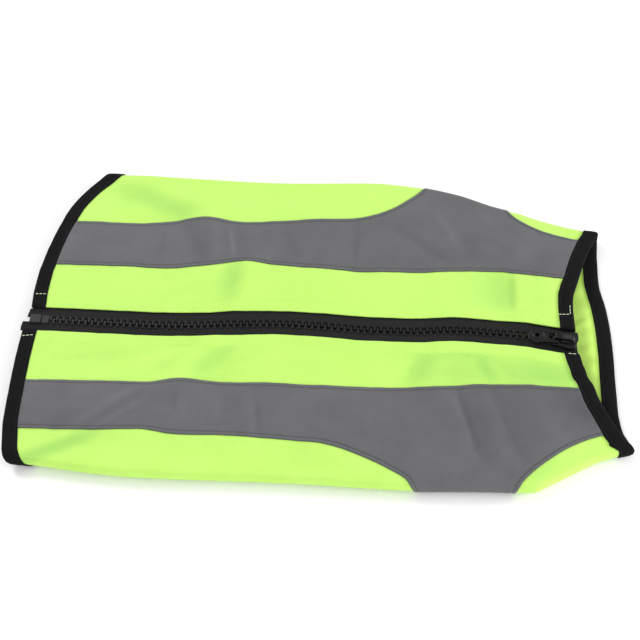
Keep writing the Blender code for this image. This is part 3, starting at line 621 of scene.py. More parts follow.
LIME_LIGHT, LIME_DEEP = (0.500, 0.800, 0.155), (0.360, 0.640, 0.087)


def knit():
    p = Paint("lime_knit_cloth", 0.78, 0.22)
    vector, along, across, _ = p.cut()
    rib = p.math("ABSOLUTE", p.math("SINE", p.math("MULTIPLY", along, math.pi / 1.04)))
    lean = p.math("MULTIPLY", p.math("ABSOLUTE", p.math("SINE", p.math("MULTIPLY", along, math.pi / 1.04))), 2.2)
    loop = sine(p, across, 0.82, lean)
    tone = p.noise(vector, 0.045, 3.0, 0.55)
    fuzz = p.noise(vector, 2.4, 2.0, 0.6)
    # painted shade in the rib valleys and between the loops, mixed with random tone
    valley = p.math("SUBTRACT", 1.0, p.math("POWER", rib, 0.6))
    valley_shade_and_tone = p.math("MULTIPLY", valley, 0.26)
    valley_shade_and_tone = p.math("ADD", valley_shade_and_tone, p.math("MULTIPLY", p.math("SUBTRACT", 1.0, loop), 0.10))
    valley_shade_and_tone = p.math("ADD", valley_shade_and_tone, p.span(tone, 0.35, 0.75, 0.0, 0.16), clamp=True)
    # then the painted shade and painted highlights of the shade attribute, strongest in red
    p.colour(p.shaded(p.mix(valley_shade_and_tone, LIME_LIGHT, LIME_DEEP), (1.15, 0.75, 0.65)))
    height = p.math("ADD", p.math("MULTIPLY", p.math("POWER", rib, 0.7), 0.75), p.math("MULTIPLY", loop, 0.25))
    height = p.math("ADD", height, p.math("MULTIPLY", fuzz, 0.22))
    p.bump(height, 0.00009, 0.6)
    p.shader.inputs["Sheen Weight"].default_value = 0.12
    p.shader.inputs["Sheen Roughness"].default_value = 0.4
    return p.made


def reflective():
    p = Paint("reflective_tape_grey", 0.55, 0.2)
    vector, along, across, rim = p.cut()
    tone = p.noise(vector, 0.06, 3.0, 0.6)
    streak = p.noise(vector, 1.0, 2.0, 0.6, (1.6, 0.12, 1.0))
    grain = p.noise(vector, 5.0, 2.0, 0.7)
    mixed = p.math("ADD", p.math("MULTIPLY", tone, 0.45), p.math("MULTIPLY", streak, 0.25))
    mixed = p.math("ADD", mixed, p.math("MULTIPLY", grain, 0.30))
    base = p.mix(p.span(mixed, 0.3, 0.72), (0.100, 0.101, 0.106), (0.122, 0.123, 0.129))
    hem = p.span(rim, 0.05, 0.55, 1.0, 0.0)
    sewn = p.math("MULTIPLY", p.span(rim, 1.35, 1.95), p.span(rim, 2.05, 2.65, 1.0, 0.0))
    shade = p.math("ADD", p.math("MULTIPLY", hem, 0.75), p.math("MULTIPLY", sewn, 0.42), clamp=True)
    # the shade attribute adds painted shade and painted highlights to the strips
    p.colour(p.shaded(p.mix(shade, base, (0.055, 0.056, 0.058))))
    height = p.math("SUBTRACT", p.math("MULTIPLY", grain, 0.25), p.math("MULTIPLY", sewn, 1.0))
    height = p.math("ADD", height, p.math("MULTIPLY", streak, 0.35))
    p.bump(height, 0.00012, 0.8)
    p.shader.inputs["Sheen Weight"].default_value = 0.25
    p.shader.inputs["Sheen Roughness"].default_value = 0.35
    return p.made


def ribbed_tape():
    p = Paint("black_ribbed_binding", 0.85, 0.05)
    vector, along, across, _ = p.cut()
    lines = sine(p, across, 0.78)
    steps = sine(p, along, 0.62)
    tone = p.noise(vector, 0.12, 3.0, 0.6)
    fuzz = p.noise(vector, 3.0, 2.0, 0.6)
    mixed = p.math("ADD", p.math("MULTIPLY", lines, 0.45), p.math("MULTIPLY", tone, 0.35))
    mixed = p.math("ADD", mixed, p.math("MULTIPLY", fuzz, 0.2))
    p.colour(p.mix(p.span(mixed, 0.2, 0.85), (0.0050, 0.0050, 0.0056), (0.0098, 0.0098, 0.0107)))
    height = p.math("ADD", p.math("MULTIPLY", lines, 0.6), p.math("MULTIPLY", steps, 0.4))
    height = p.math("ADD", height, p.math("MULTIPLY", fuzz, 0.3))
    p.bump(height, 0.00010, 0.8)
    p.shader.inputs["Sheen Weight"].default_value = 0.015
    return p.made


def woven_tape():
    p = Paint("black_woven_zip_tape", 0.85, 0.08)
    vector, along, across, _ = p.cut()
    ribs = sine(p, along, 0.72)
    picks = sine(p, across, 1.15)
    fuzz = p.noise(vector, 3.2, 2.0, 0.6)
    mixed = p.math("ADD", p.math("MULTIPLY", ribs, 0.5), p.math("MULTIPLY", picks, 0.25))
    mixed = p.math("ADD", mixed, p.math("MULTIPLY", fuzz, 0.25))
    p.colour(p.mix(p.span(mixed, 0.2, 0.85), (0.0090, 0.0094, 0.0090), (0.0240, 0.0248, 0.0236)))
    height = p.math("ADD", p.math("MULTIPLY", ribs, 0.7), p.math("MULTIPLY", picks, 0.3))
    p.bump(height, 0.00010, 0.9)
    p.shader.inputs["Sheen Weight"].default_value = 0.03
    return p.made


def plain(name, low, high, rough, spec, scale, bump_depth, coat=0.0):
    p = Paint(name, rough, spec)
    where = p.node("ShaderNodeTexCoord").outputs["Object"]
    tone = p.noise(where, scale, 3.0, 0.6)
    p.colour(p.mix(p.span(tone, 0.3, 0.7), low, high))
    fine = p.noise(where, scale * 5, 2.0, 0.6)
    p.bump(fine, bump_depth, 0.7)
    p.shader.inputs["Coat Weight"].default_value = coat * 0.4
    p.shader.inputs["Coat Roughness"].default_value = 0.3
    return p.made


def thread(name, low, high):
    p = Paint(name, 0.7, 0.25)
    vector, along, across, _ = p.cut()
    ply = sine(p, along, 0.42)
    p.colour(p.mix(ply, low, high))
    p.bump(ply, 0.00004, 0.7)
    return p.made


KNIT, REFLECTIVE, BINDING_TAPE, ZIP_TAPE = knit(), reflective(), ribbed_tape(), woven_tape()
MOULDED = plain("black_moulded_teeth", (0.0075, 0.0075, 0.0077), (0.0130, 0.0130, 0.0132), 0.42, 0.22, 900.0, 0.00002)
PAINTED = plain("black_painted_metal", (0.0036, 0.0036, 0.0038), (0.0066, 0.0066, 0.0068), 0.28, 0.26, 700.0, 0.00002, 0.15)
LIME_THREAD = thread("lime_thread", (0.52, 0.83, 0.15), (0.60, 0.92, 0.20))
PALE_THREAD = thread("pale_lime_thread", (0.50, 0.62, 0.36), (0.74, 0.84, 0.56))
GREY_THREAD = thread("grey_thread", (0.078, 0.079, 0.082), (0.105, 0.106, 0.110))
BLACK_THREAD = thread("black_thread", (0.006, 0.006, 0.007), (0.016, 0.016, 0.017))


# ---- meshes -----------------------------------------------------------------------------
def add(name, verts, faces, material, body="vest", cut=None, sharp=None, shaded=True):
    """One piece from points in millimetres, riding on a body."""
    mesh = bpy.data.meshes.new(name)
    verts = (np.asarray(verts, float) - ORIGIN) * MM
    mesh.from_pydata(verts.tolist(), [], faces)
    shape = bmesh.new()
    shape.from_mesh(mesh)
    bmesh.ops.recalc_face_normals(shape, faces=shape.faces)
    if shape.calc_volume(signed=True) < 0:
        bmesh.ops.reverse_faces(shape, faces=shape.faces)
    shape.to_mesh(mesh)
    shape.free()
    if cut is not None:
        cut = np.asarray(cut, float)
        layer = mesh.attributes.new("cut", "FLOAT_VECTOR", "POINT")
        layer.data.foreach_set("vector", cut.astype(np.float32).ravel())
        if material in (KNIT, REFLECTIVE):
            # the shade attribute carries the painted shade and painted highlights from shades()
            layer = mesh.attributes.new("shade", "FLOAT", "POINT")
            layer.data.foreach_set("value", (shades(cut[:, 0], cut[:, 1]) if shaded else cut[:, 0] * 0).astype(np.float32))
    mesh.materials.append(material)
    mesh.shade_smooth()
    if sharp is not None:
        mesh.set_sharp_from_angle(angle=math.radians(sharp))
    made = bpy.data.objects.new(name, mesh)
    bpy.context.scene.collection.objects.link(made)
    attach(made, body)
    return made


def shell(name, points, normals, high, low, faces, cut, material, shaded=True):
    """A closed thin shell between two heights over a sheet of faces."""
    points, normals = np.asarray(points), np.asarray(normals)
    high = np.broadcast_to(high, len(points))[:, None]
    low = np.broadcast_to(low, len(points))[:, None]
    used = np.unique(np.array([v for f in faces for v in f]))
    place = {int(v): k for k, v in enumerate(used)}
    n = len(used)
    verts = np.concatenate([(points + normals * high)[used], (points + normals * low)[used]])
    top = [tuple(place[v] for v in f) for f in faces]
    under = [tuple(v + n for v in reversed(f)) for f in top]
    sides = {}
    for f in top:
        for a, b in zip(f, f[1:] + f[:1]):
            if (b, a) in sides:
                del sides[(b, a)]
            else:
                sides[(a, b)] = True
    rim = [(b, a, a + n, b + n) for a, b in sides]
    cut = np.asarray(cut)[used]
    return add(name, verts, top + under + rim, material, cut=np.concatenate([cut, cut]), shaded=shaded)


def quads(columns, rows, keep=None, start=0):
    faces = []
    for i in range(columns - 1):
        for j in range(rows - 1):
            if keep is None or keep(i, j):
                a, b = start + i * rows + j, start + (i + 1) * rows + j
                faces.append((a, b, b + 1, a + 1))
    return faces


def sweep(name, rings, cuts, material, closed=False, body="vest"):
    count = len(rings[0])
    verts = np.concatenate([np.asarray(r, float) for r in rings])
    cut = np.concatenate([np.asarray(c, float) for c in cuts])
    last = len(rings) if closed else len(rings) - 1
    faces = []
    for k in range(last):
        a, b = k * count, ((k + 1) % len(rings)) * count
        faces += [(a + i, a + (i + 1) % count, b + (i + 1) % count, b + i) for i in range(count)]
    if not closed:
        faces.append(tuple(reversed(range(count))))
        faces.append(tuple(range((len(rings) - 1) * count, len(rings) * count)))
    return add(name, verts, faces, material, body, cut, sharp=75)


def length_of(path):
    path = np.asarray(path, float)
    return np.concatenate([[0.0], np.cumsum(np.linalg.norm(np.diff(path, axis=0), axis=1))])


def resample(path, places):
    run = length_of(path)
    path = np.asarray(path, float)
    return np.stack([np.interp(places, run, path[:, k]) for k in range(path.shape[1])], axis=-1)


def eased(low, high, step, tight=()):
    """Places from low to high a step apart, with extra ones close to an end."""
    inner = list(np.linspace(low, high, max(2, int(round(abs(high - low) / step)) + 1)))
    extra = [low + t for t in tight] + [high - t for t in tight]
    return np.array(sorted(set(np.round(inner + extra, 4))))


def distance_to(points, line):
    """Shortest distance in the cut from each point to a broken line."""
    line = np.asarray(line, float)
    a, d = line[:-1], np.diff(line, axis=0)
    size = np.maximum((d**2).sum(1), 1e-12)
    best = np.full(len(points), 1e9)
    for k in range(0, len(points), 2000):
        p = points[k : k + 2000, None, :]
        t = np.clip(((p - a) * d).sum(-1) / size, 0, 1)
        gap = np.linalg.norm(p - (a + d * t[..., None]), axis=-1)
        best[k : k + 2000] = gap.min(1)
    return best


# ---- side panels --------------------------------------------------------------------------
STEP = 1.45
AREAS = {}


def panel_rows(x, side):
    """Cut distances of the fine rows at each x."""
    s = side * np.ones_like(x)
    start = fold_start(x, s)
    turn = math.pi * FOLD_R
    seam = seam_place(x, s)
    rows = [np.full_like(x, PANEL_START + t) for t in (0.0, 0.08, 0.25, 0.5, 0.9)]
    count = 60
    rows += [PANEL_START + 0.9 + (start - PANEL_START - 0.9) * k / count for k in range(1, count + 1)]
    rows += [start + turn * k / 12 for k in range(1, 13)]
    count = 8 if side > 0 else 15
    rows += [start + turn + (seam - start - turn) * k / count for k in range(1, count + 1)]
    return np.array(rows)


def panel_grid(side):
    shares = np.linspace(0, 1, 212)
    x = np.zeros((len(shares), 1)) + np.linspace(-140, 160, len(shares))[:, None]
    rows = len(panel_rows(np.zeros(1), side))
    x = np.repeat(x, rows, axis=1)
    for _ in range(5):
        c = np.stack([panel_rows(x[:, j], side)[j] for j in range(rows)], axis=1)
        hem, neck = hem_x(side * c, BINDING_EDGE), neck_x(side * c, BINDING_EDGE)
        x = hem + (neck - hem) * shares[:, None]
    return x, side * c


def flat_area(x, s):
    """Area of the flat cut under a grid, in square metres."""
    c = np.abs(s)
    a = np.stack([x, c], -1)
    d1, d2 = a[1:, 1:] - a[:-1, :-1], a[:-1, 1:] - a[1:, :-1]
    return float(np.abs(d1[..., 0] * d2[..., 1] - d1[..., 1] * d2[..., 0]).sum() / 2) * MM * MM


def declare(width, length, area=None):
    width, length = width * MM, length * MM
    if area is not None:
        area = min(area, width * length)


for side, which in ((1, "far"), (-1, "near")):
    x, s = panel_grid(side)
    c = np.abs(s)
    edge_in = c - PANEL_START
    round_off = np.sqrt(np.clip(edge_in / 0.9, 0, 1) * (2 - np.clip(edge_in / 0.9, 0, 1)))
    high = 0.06 + (CLOTH - 0.06) * round_off
    piece = shell(
        "vest_panel_" + which,
        lie(x, s).reshape(-1, 3),
        facing(x, s).reshape(-1, 3),
        high.ravel(),
        -high.ravel(),
        quads(*x.shape),
        np.stack([x, s, edge_in], -1).reshape(-1, 3),
        KNIT,
    )
    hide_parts("side_panel_" + which)
    declare(float(np.ptp(c)), float(np.ptp(x)), flat_area(x, s))
    AREAS[which] = flat_area(x, s)


# ---- reflective strips ---------------------------------------------------------------------
STRIP_LOW, STRIP_HIGH = CLOTH + 0.08, CLOTH + 0.62
STRIP_END = BINDING + 0.04


def strip_outline(side, name):
    """The strip's sewn edges in the cut: its inner edge, and its outer edge with the branch."""
    inner = np.array([(x, STRIP_IN) for x in np.linspace(float(hem_x(side * STRIP_IN, 5)), float(neck_x(side * STRIP_IN, 5)), 260)])
    c = np.concatenate([np.linspace(STRIP_OUT, 78, 60), np.linspace(78.5, 135, 110)])
    left = np.stack([read(FLANK, name + "_hem_side", c), c], -1)
    right = np.stack([read(FLANK, name + "_neck_side", c), c], -1)[::-1]
    hem = np.array([(x, STRIP_OUT) for x in np.linspace(float(hem_x(side * STRIP_OUT, 5)), left[0, 0], 160)[:-1]])
    neck_end = float(neck_x(side * STRIP_OUT, 5))
    neck = np.array([(x, STRIP_OUT) for x in np.linspace(right[-1, 0], max(neck_end, right[-1, 0] + 1.0), 12)[1:]])
    return inner, np.concatenate([hem, left]), np.concatenate([right, neck])


def strip_piece(side, which):
    tight = (0.12, 0.35, 0.8)
    reach = STRIP_OUT
    left0, right0 = float(read(FLANK, which + "_hem_side", reach)), float(read(FLANK, which + "_neck_side", reach))
    shares = eased(0.0, 1.0, 1.5 / (right0 - left0), tuple(t / (right0 - left0) for t in tight))
    rows = np.concatenate([eased(STRIP_IN, STRIP_OUT, 1.45, tight)])
    hem, neck = hem_x(side * rows, STRIP_END), neck_x(side * rows, STRIP_END)
    right = np.minimum(right0, neck - 0.9)
    before = np.linspace(0, 1, 112)[:-1]
    after = np.linspace(0, 1, 7)[1:]
    columns = [hem + (left0 - hem) * t for t in before]
    columns += [left0 + (right - left0) * t for t in shares]
    columns += [right + (neck - right) * t for t in after]
    band_x = np.array(columns)
    band_c = np.broadcast_to(rows, band_x.shape)
    # The branch carries on from the band's last row between the flanks.
    branch_rows = 64
    bx, bc = [], []
    x = left0 + (right0 - left0) * shares
    for j in range(1, branch_rows + 1):
        for _ in range(4):
            seam = seam_place(x, np.full_like(x, side))
            c = STRIP_OUT + (seam - STRIP_OUT) * (j / branch_rows)
            left, right = read(FLANK, which + "_hem_side", c), read(FLANK, which + "_neck_side", c)
            x = left + (right - left) * shares
        bx.append(x)
        bc.append(c)
    bx, bc = np.array(bx).T, np.array(bc).T
    nb = band_x.size
    x = np.concatenate([band_x.ravel(), bx.ravel()])
    c = np.concatenate([band_c.ravel(), bc.ravel()])
    faces = quads(*band_x.shape)
    first = len(before)
    band_rows = band_x.shape[1]
    for i in range(len(shares) - 1):
        a, b = (first + i) * band_rows + band_rows - 1, (first + i + 1) * band_rows + band_rows - 1
        p, q = nb + i * branch_rows, nb + (i + 1) * branch_rows
        faces.append((a, b, q, p))
    faces += quads(len(shares), branch_rows, start=nb)
    inner, outer_hem, outer_neck = strip_outline(side, which)
    points = np.stack([x, c], -1)
    rim = np.minimum(distance_to(points, inner), distance_to(points, outer_hem))
    rim = np.minimum(rim, distance_to(points, outer_neck))
    share = np.clip(rim / 0.7, 0, 1)
    high = STRIP_LOW + 0.05 + (STRIP_HIGH - STRIP_LOW - 0.05) * np.sqrt(share * (2 - share))
    high = high - 0.12 * np.exp(-(((rim - 2.0) / 0.7) ** 2))
    s = side * c
    piece = shell(
        "vest_strip_" + which,
        lie(x, s),
        facing(x, s),
        high,
        STRIP_LOW,
        faces,
        np.stack([x, s, rim], -1),
        REFLECTIVE,
    )
    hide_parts("reflective_strip_" + which)
    area = flat_area(band_x, side * band_c) + flat_area(bx, side * bc)
    return piece, area, float(np.ptp(c)), float(np.ptp(x))


strips = {}
for side, which in ((1, "far"), (-1, "near")):
    piece, area, width, length = strip_piece(side, which)
    strips[which] = piece
    declare(width, length, max(area, 0.31 * width * length * MM * MM))
    AREAS["strip_" + which] = area


# ---- belly ----------------------------------------------------------------------------------
def belly_piece():
    columns, rows = 132, 84
    share = np.linspace(0, 1, rows)
    part = np.linspace(0, 1, columns)[:, None]
    hem, neck = belly_edge_x("hem", share, BINDING_EDGE), belly_edge_x("neck", share, BINDING_EDGE)
    x = hem + (neck - hem) * part
    near, far = belly_sides(x)
    y = near + (far - near) * share
    share = np.broadcast_to(share, x.shape)
    points = np.stack([x, y, share], -1).reshape(-1, 3)
    blocks = {}
    for which in LEG_SHARE:
        hit = np.argwhere(leg_clear(which, x, y) < BINDING + 5.0)
        (i0, j0), (i1, j1) = hit.min(0), hit.max(0)
        blocks[which] = (int(i0), int(i1), int(j0), int(j1))
    keep = lambda i, j: not any(a <= i < b and c <= j < d for a, b, c, d in blocks.values())
    faces = quads(columns, rows, keep)
    extra = []
    for which, (i0, i1, j0, j1) in blocks.items():
        walk = [(i, j0) for i in range(i0, i1)] + [(i1, j) for j in range(j0, j1)]
        walk += [(i, j1) for i in range(i1, i0, -1)] + [(i0, j) for j in range(j1, j0, -1)]
        middle = leg_middle(which)
        rim = np.array([(x[p], y[p]) for p in walk])
        angle = np.arctan2((rim[:, 1] - middle) / LEG_B, (rim[:, 0] - LEG_X) / LEG_A)
        hole = np.stack([LEG_X + LEG_A * np.cos(angle), middle + LEG_B * np.sin(angle)], -1)
        ring = [i * rows + j for i, j in walk]
        n = len(ring)
        for t in (0.2, 0.4, 0.6, 0.8, 1.0):
            start = len(points) + len(extra)
            flat = rim + (hole - rim) * t
            extra += [(u, v, 0.25 if which == "near" else 0.75) for u, v in flat]
            inner = list(range(start, start + n))
            faces += [(ring[k], ring[(k + 1) % n], inner[(k + 1) % n], inner[k]) for k in range(n)]
            ring = inner
    points = np.concatenate([points, np.array(extra)])
    middle = belly(points[:, 0], points[:, 1], points[:, 2])
    down = np.tile((0.0, 0.0, -1.0), (len(points), 1))
    low = np.minimum(CLOTH, middle[:, 2])  # nothing goes below the table
    piece = shell(
        "vest_belly",
        middle,
        down,
        low,
        -CLOTH,
        faces,
        np.stack([points[:, 0], points[:, 1], np.full(len(points), 9.0)], -1),
        KNIT,
        shaded=False,
    )
    inner_face_painted_light = np.zeros(len(piece.data.vertices), np.float32)
    inner_face_painted_light[len(inner_face_painted_light) // 2 :] = -0.17  # painted light: the knit's inner face is made paler where it lies in the shade under the top layer
    piece.data.attributes["shade"].data.foreach_set("value", inner_face_painted_light)
    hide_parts("belly_panel")
    holes = 2 * math.pi * LEG_A * LEG_B * MM * MM
    return piece, flat_area(x, y + 200.0) - holes, float(np.ptp(y)), float(np.ptp(x))


belly_cloth, area, width, length = belly_piece()
declare(width, length, area)
AREAS["belly"] = area


# ---- bindings ----------------------------------------------------------------------------------
def binding_profile():
    """The folded tape's section, as (distance in from the fold, height off the cloth)."""
    outer = [(8.0, 0.60), (7.96, 0.95), (7.7, 1.16), (7.3, 1.22), (6.9, 1.13), (6.5, 1.12), (6.1, 1.24), (5.0, 1.32)]
    outer += [(3.6, 1.36), (2.2, 1.34), (1.1, 1.22), (0.45, 0.92), (0.1, 0.5), (0.0, 0.0)]
    under = [(d, -h) for d, h in reversed(outer[:-1])]
    inner = [(6.0, -0.56), (3.0, -0.56), (1.05, -0.56), (0.9, 0.0), (1.05, 0.56), (3.0, 0.56), (6.0, 0.56)]
    return np.array(outer + under + inner)


PROFILE = binding_profile()


def bound(name, end, edge_x, node):
    rings, cuts, run = [], [], 0.0
    last = None
    x_end, s_end = seam_end(end, 1.0, BINDING_EDGE)
    path = []
    for side in (1.0, -1.0):
        x_end, s_end = seam_end(end, side, BINDING_EDGE)
        start = abs(s_end) - math.pi * FOLD_R - (SEAM_FAR if side > 0 else SEAM_NEAR)
        c = np.concatenate(
            [
                [PANEL_START - 0.62, PANEL_START - 0.5, PANEL_START - 0.25, PANEL_START, PANEL_START + 0.25],
                np.linspace(PANEL_START + 0.8, start - 2, 50),
                np.linspace(start - 1.4, start + math.pi * FOLD_R + 1.4, 26),
                np.linspace(start + math.pi * FOLD_R + 2.4, abs(s_end), 8),
            ]
        )
        path.append([("side", side * v) for v in c])
    shares = np.linspace(0.004, 0.996, 90)
    route = path[0] + [("belly", v) for v in shares[::-1]] + path[1][::-1]
    near, far = belly_sides(np.array([seam_end(end, -1.0, 4.0)[0], seam_end(end, 1.0, 4.0)[0]]))
    d, h = PROFILE[:, 0], PROFILE[:, 1]
    for kind, v in route:
        if kind == "side":
            s = np.full_like(d, v)
            past = PANEL_START - abs(v)  # the end is turned in over the panel's cut edge
            close = min(1.0, max(0.0, 0.75 - past / 0.9))
            inner = 1.0 if past < 0.1 else 0.08
            wave = 1.0 + 0.10 * float(ripple(abs(v) * 1.1, 2.0 if v > 0 else 5.0))
            over = np.maximum(np.abs(h) - 0.56, 0)
            off = np.sign(h) * (np.minimum(np.abs(h), 0.56) + over * close * wave)
            off = np.where(np.abs(h) < 0.57, off * inner, off)
            x = edge_x(s, d)
            ring = cloth(x, s, off)
        else:
            x = np.array([float(belly_edge_x(end, v, float(inset))) for inset in d])
            low, high = belly_sides(x)
            y = low + (high - low) * v
            ring = np.stack([x, y, LOW - h], -1)
        centre = ring.mean(0)
        run += 0.0 if last is None else float(np.linalg.norm(centre - last))
        last = centre
        rings.append(ring)
        cuts.append(np.stack([np.full_like(d, run), d + np.where(h < 0, 20.0, 0.0), np.zeros_like(d)], -1))
    piece = sweep(name, rings, cuts, BINDING_TAPE)
    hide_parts(node)
    return piece, run


hem_tape, hem_run = bound("vest_hem_binding", "hem", hem_x, "hem_binding")
neck_tape, neck_run = bound("vest_neck_binding", "neck", neck_x, "neck_binding")
declare(18.6, hem_run, None)
declare(18.6, neck_run, None)

leg_run = 0.0
for which in LEG_SHARE:
    rings, cuts, run, last = [], [], 0.0, None
    d, h = PROFILE[:, 0] - BINDING_EDGE, PROFILE[:, 1]
    for angle in np.linspace(0, 2 * math.pi, 120, endpoint=False):
        nx, ny = math.cos(angle) / LEG_A, math.sin(angle) / LEG_B
        size = math.hypot(nx, ny)
        wave = 1.0 + 0.08 * math.sin(7 * angle) * math.sin(3 * angle + 1)
        x = LEG_X + LEG_A * math.cos(angle) + d * nx / size
        y = leg_middle(which) + LEG_B * math.sin(angle) + d * ny / size
        ring = np.stack([x, y, LOW - h * np.where(np.abs(h) > 0.6, wave, 1.0)], -1)
        centre = ring.mean(0)
        run += 0.0 if last is None else float(np.linalg.norm(centre - last))
        last = centre
        rings.append(ring)
        cuts.append(np.stack([np.full_like(d, run), PROFILE[:, 0] + np.where(h < 0, 20.0, 0.0), np.zeros_like(d)], -1))
    piece = sweep("vest_leg_binding_" + which, rings, cuts, BINDING_TAPE, closed=True)
    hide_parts("leg_binding_" + which)
    declare(18.6, run, None)
    leg_run = run


# ---- zip -------------------------------------------------------------------------------------------
ZIP_ENDS = {"far": (-143.2, 151.6), "near": (-145.6, 150.9)}
PIN_X1, BOX_X1 = -131.2, -135.2
SLIDER_X = 144.4


def zip_frame(x):
    ahead, behind = lie(x + 5.0, 0.0), lie(x - 5.0, 0.0)
    along = (ahead - behind) / np.linalg.norm(ahead - behind)
    up = np.array([0.0, 0.0, 1.0]) - along * along[2]
    up /= np.linalg.norm(up)
    return lie(x, 0.0), along, np.cross(up, along), up


def jag(c, seed):
    """The uneven line along which the tape was cut off."""
    return 0.22 * np.sin(c * 0.9 + seed) + 0.07 * np.sin(c * 3.4 + 2 * seed)


def tape_piece(side, which):
    low_end, high_end = ZIP_ENDS[which]
    c = np.concatenate([[1.7, 1.85, 2.3], np.linspace(3.0, 7.0, 9), np.linspace(7.6, TAPE_HALF, 7)])
    shares = np.linspace(0, 1, 230)
    hem, neck = hem_x(side * c, BINDING_EDGE), neck_x(side * c, BINDING_EDGE)
    free = c <= 7.05
    start = np.where(free, low_end + jag(c, 1.0 + side), hem)
    stop = np.where(free, high_end + jag(c, 3.0 + side), neck)
    # The sewn rows share the free rows' columns until the free ends run on past them.
    x = start + (stop - start) * shares[:, None]
    c = np.broadcast_to(c, x.shape)
    s = side * c
    bead = 0.22 * np.exp(-(((c - 2.1) / 0.6) ** 2))
    end_lift = 0.10 * np.sin(x * 2.2) * np.exp(-(np.minimum(np.abs(x - low_end), np.abs(x - high_end)) / 2.0))
    high = -TAPE_DROP + 0.42 + bead + end_lift
    low = -TAPE_DROP - 0.30 - bead + end_lift
    keep = lambda i, j: True
    piece = shell(
        "vest_zip_tape_" + which,
        lie(x, s).reshape(-1, 3),
        facing(x, s).reshape(-1, 3),
        high.ravel(),
        low.ravel(),
        quads(*x.shape),
        np.stack([x, s, np.zeros_like(x)], -1).reshape(-1, 3),
        ZIP_TAPE,
    )
    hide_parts("zip_tape_" + which)
    declare(13.4, float(np.ptp(x)), None)
    return piece


tapes = {which: tape_piece(side, which) for side, which in ((1, "far"), (-1, "near"))}

TOOTH = (
    (2.90, 0.50), (2.72, 0.66), (2.00, 0.84), (1.35, 0.86), (1.00, 0.66), (0.70, 0.48),
    (0.40, 0.52), (0.14, 0.74), (-0.16, 0.80), (-0.46, 0.66), (-0.72, 0.40), (-0.84, 0.16),
)


def tooth_rings(side):
    """One tooth in its own frame: along, across and up, in rings from bottom to top."""
    outline = [(w, side * v) for v, w in TOOTH] + [(-w, side * v) for v, w in reversed(TOOTH)]
    outline = np.array(outline)
    centre = np.array([0.0, side * 1.1])
    rings = []
    for level, inset in ((-1.28, 0.80), (-1.08, 0.97), (-0.3, 1.0), (1.0, 1.0), (1.18, 0.95), (1.30, 0.80)):
        ring = centre + (outline - centre) * np.array([inset, 1 - (1 - inset) * 0.6])
        rings.append(np.column_stack([ring, np.full(len(ring), level)]))
    return np.array(rings)


def teeth():
    pitch = 3.5
    xs = np.linspace(PIN_X1 - 0.5, SLIDER_X, 1200)
    line = lie(xs, 0.0)
    run = length_of(line)
    verts, faces, cut = [], [], []
    count = 0
    place = 1.6
    end = float(np.interp(SLIDER_X - 5.0, xs, run))
    k = 0
    while place < end:
        side = 1.0 if k % 2 == 0 else -1.0
        x = float(np.interp(place, run, xs))
        origin, along, across, up = zip_frame(x)
        rings = tooth_rings(side)
        n = rings.shape[1]
        rings = rings * np.array([1.0, 1.0, 1.0])
        turn = 0.02 * math.sin(k * 2.3)
        for ring in rings:
            u = ring[:, 0] + turn * ring[:, 1]
            points = origin + np.outer(u, along) + np.outer(ring[:, 1], across) + np.outer(ring[:, 2] - TAPE_DROP, up)
            verts.append(points)
        for r in range(len(rings) - 1):
            a, b = count + r * n, count + (r + 1) * n
            faces += [(a + i, a + (i + 1) % n, b + (i + 1) % n, b + i) for i in range(n)]
        faces.append(tuple(reversed(range(count, count + n))))
        top = count + (len(rings) - 1) * n
        faces.append(tuple(range(top, top + n)))
        count += n * len(rings)
        place += pitch / 2
        k += 1
    piece = add("vest_zip_teeth", np.concatenate(verts), faces, MOULDED, sharp=38)
    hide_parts("zip_chain")
    return piece


teeth()

for node, paint in (("zip_box", MOULDED), ("zip_pin", MOULDED), ("zip_stop_far", MOULDED), ("zip_stop_near", MOULDED)):
    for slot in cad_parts[node].material_slots:
        slot.material = paint


def cast(name, parts, x, drop, body, tilt=0.0, voxel=0.13, keep=0.45, node=None, lift=0.0, back=0.0):
    """A cast or moulded piece: prisms fused into one skin with softened edges."""
    verts, faces = [], []
    for v, f in parts:
        faces += [tuple(len(verts) + i for i in face) for face in f]
        verts += list(v)
    mesh = bpy.data.meshes.new(name + "_rough")
    mesh.from_pydata([tuple(map(float, v)) for v in verts], [], faces)
    shape = bmesh.new()
    shape.from_mesh(mesh)
    bmesh.ops.recalc_face_normals(shape, faces=shape.faces)
    shape.to_mesh(mesh)
    shape.free()
    rough = bpy.data.objects.new(name + "_rough", mesh)
    bpy.context.scene.collection.objects.link(rough)
    step = rough.modifiers.new("Skin", "REMESH")
    step.mode, step.voxel_size = "VOXEL", voxel
    step = rough.modifiers.new("Soften", "SMOOTH")
    step.factor, step.iterations = 0.5, 5
    step = rough.modifiers.new("Thin", "DECIMATE")
    step.ratio = keep
    bpy.context.view_layer.update()
    done = bpy.data.meshes.new_from_object(rough.evaluated_get(bpy.context.evaluated_depsgraph_get()))
    points = np.empty(len(done.vertices) * 3)
    done.vertices.foreach_get("co", points)
    points = points.reshape(-1, 3)
    polygons = [tuple(p.vertices) for p in done.polygons]
    bpy.data.objects.remove(rough, do_unlink=True)
    place, along, across, up = zip_frame(x)
    t = math.radians(tilt)
    local_x = along * math.cos(t) + up * math.sin(t)
    local_z = up * math.cos(t) - along * math.sin(t)
    base = place - drop * up + back * along + lift * up
    world = base + np.outer(points[:, 0], local_x) + np.outer(points[:, 1], across) + np.outer(points[:, 2], local_z)
    piece = add(name, world, polygons, PAINTED, body)
    if node:
        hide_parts(node)
    return piece


def prism(outline, low, high, plane="xy"):
    n = len(outline)
    if plane == "xy":
        verts = [(u, v, low) for u, v in outline] + [(u, v, high) for u, v in outline]
    else:
        verts = [(u, low, v) for u, v in outline] + [(u, high, v) for u, v in outline]
    faces = [tuple(reversed(range(n))), tuple(range(n, 2 * n))]
    faces += [(i, (i + 1) % n, n + (i + 1) % n, n + i) for i in range(n)]
    return verts, faces


